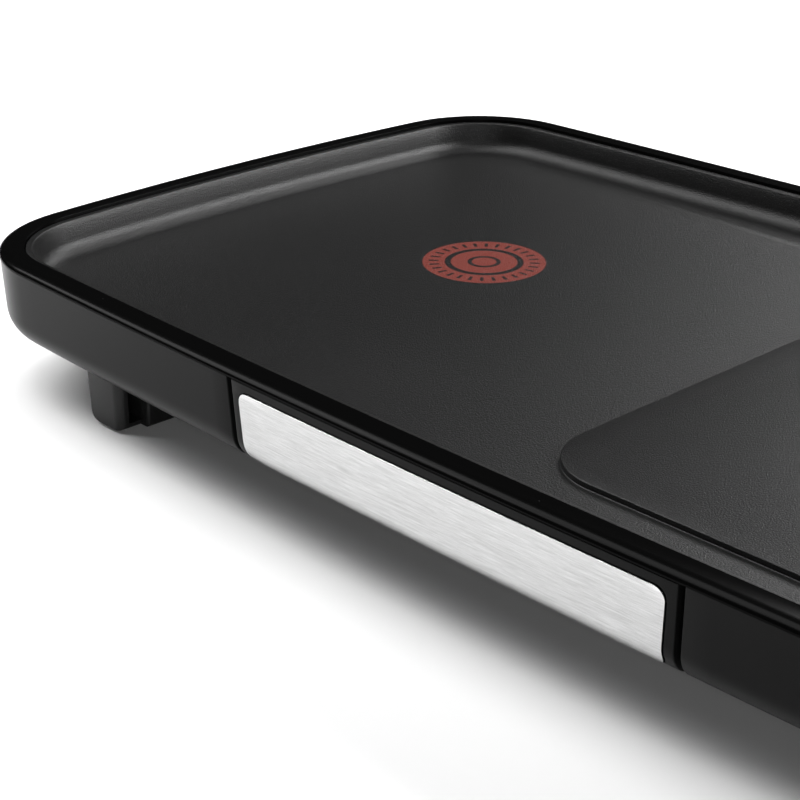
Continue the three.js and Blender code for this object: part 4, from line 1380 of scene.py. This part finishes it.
def reflector_mesh():
    low = low_high("heat_reflector")[0].z
    top = low + SHEET
    section = [(38.4, low), (37.4, low + 0.1), (34.4, 33.8), (34, 34.2), (33.9, 34.9), (34.6, 34.9),
               (35.2, 34.2), (38, top + 0.1), (39, top)]
    sheet = skin("heat_reflector", [lap(inset, z) for inset, z in section], loop=False)
    cuts = [drill(1.8, low - 1, top + 1, (x, y, 0), sides=24) for x, y in POSTS]
    cuts.append(soft_block(*DRAIN, DRAIN_RADIUS, [(1.5, low - 1), (1.5, 40)]))
    cuts.append(block(226, 245, -30, 30, top, 40))
    cuts.append(drill(2.8, low - 1, top + 1, (*BULB_HOLE, 0), sides=32))
    return combined(sheet, cuts)


route = rounded_route(ELEMENT_RUNS, ELEMENT_BEND, ELEMENT_Z)
rod = tube("heating_element", route, ELEMENT_RADIUS, 20)
add_piece("heating_rod", rod, "element_sheath", "base", "heating_element", sharp=50)
add_piece("reflector", reflector_mesh(), "reflector_sheet", "base", "heat_reflector", sharp=40)

# %% [markdown]
# ## Floor and light
# A pale floor lies in dark surroundings, and six softboxes stand round the griddle. Bright surroundings
# would be simpler, but they would turn black plastic grey, and here every grey on it is the reflection
# of one softbox. The strongest stands low behind the right end and gives the raised half its sheen. The
# camera alone sees a pale backdrop, through a light path test, and that lights nothing.


# %% Floor
FLOOR_HALF = 1.5


def pale_floor():
    material = bpy.data.materials.new("pale_floor")
    material.use_nodes = True
    tree = material.node_tree
    shader = tree.nodes["Principled BSDF"]
    shader.inputs["Roughness"].default_value = 0.7
    shader.inputs["Specular IOR Level"].default_value = 0.2
    slow = noise(tree, place_of(tree), 2.0, 2.0)
    tree.links.new(blend_colours(tree, slow, grey(0.86), grey(0.88)), shader.inputs["Base Color"])
    return material


floor_mesh = bpy.data.meshes.new("floor")
floor_corners = [(x * FLOOR_HALF, y * FLOOR_HALF, 0) for x, y in ((-1, -1), (1, -1), (1, 1), (-1, 1))]
floor_mesh.from_pydata(floor_corners, [], [(0, 1, 2, 3)])
floor_mesh.materials.append(pale_floor())
floor = in_scene("floor", floor_mesh)
print("floor ready")


# %% Softboxes
def softbox(name, place, width, height, power):
    """A soft rectangular light that faces the griddle. Sizes are in metres and the power in watts."""
    data = bpy.data.lights.new(name, "AREA")
    data.shape = "RECTANGLE"
    data.size = width
    data.size_y = height
    data.energy = power
    lamp = in_scene(name, data)
    lamp.location = place
    lamp.rotation_euler = (Vector(LIGHT_AIM) - Vector(place)).to_track_quat("-Z", "Y").to_euler()


def around(turn, rise, distance):
    """A place at a compass angle from +X and an angle above the floor, both in degrees."""
    turn, rise = math.radians(turn), math.radians(rise)
    return (distance * math.cos(rise) * math.cos(turn), distance * math.cos(rise) * math.sin(turn),
            distance * math.sin(rise))


LIGHT_AIM = (-0.05, 0, 0.03)
softbox("left_softbox", around(203, 38, 1.3), 0.6, 0.5, 7.5)
softbox("high_left_softbox", around(200, 62, 1.4), 0.9, 0.8, 13)
softbox("overhead_softbox", (-0.2, -0.2, 1.6), 1.2, 1.2, 6)
softbox("rear_softbox", around(104, 37, 1.7), 0.9, 0.7, 15)
softbox("rear_right_softbox", around(49, 31, 1.8), 0.5, 0.45, 62)
softbox("front_right_softbox", around(315, 18, 1.8), 0.6, 0.5, 7)
print("softboxes ready")

# %% Surroundings
SURROUNDINGS = (*grey(0.01), 1)
BACKDROP = (*grey(0.95), 1)

world = bpy.data.worlds.new("studio")
world.use_nodes = True
sky = world.node_tree
dark = sky.nodes["Background"]
dark.inputs["Color"].default_value = SURROUNDINGS
pale = node(sky, "ShaderNodeBackground", Color=BACKDROP)
chosen = sky.nodes.new("ShaderNodeMixShader")
seen = sky.nodes.new("ShaderNodeLightPath").outputs["Is Camera Ray"]
for i, socket in enumerate((seen, dark.outputs[0], pale.outputs[0])):
    sky.links.new(socket, chosen.inputs[i])
sky.links.new(chosen.outputs[0], sky.nodes["World Output"].inputs["Surface"])
bpy.context.scene.world = world
bpy.context.scene.view_settings.view_transform = "Standard"
print("surroundings ready")
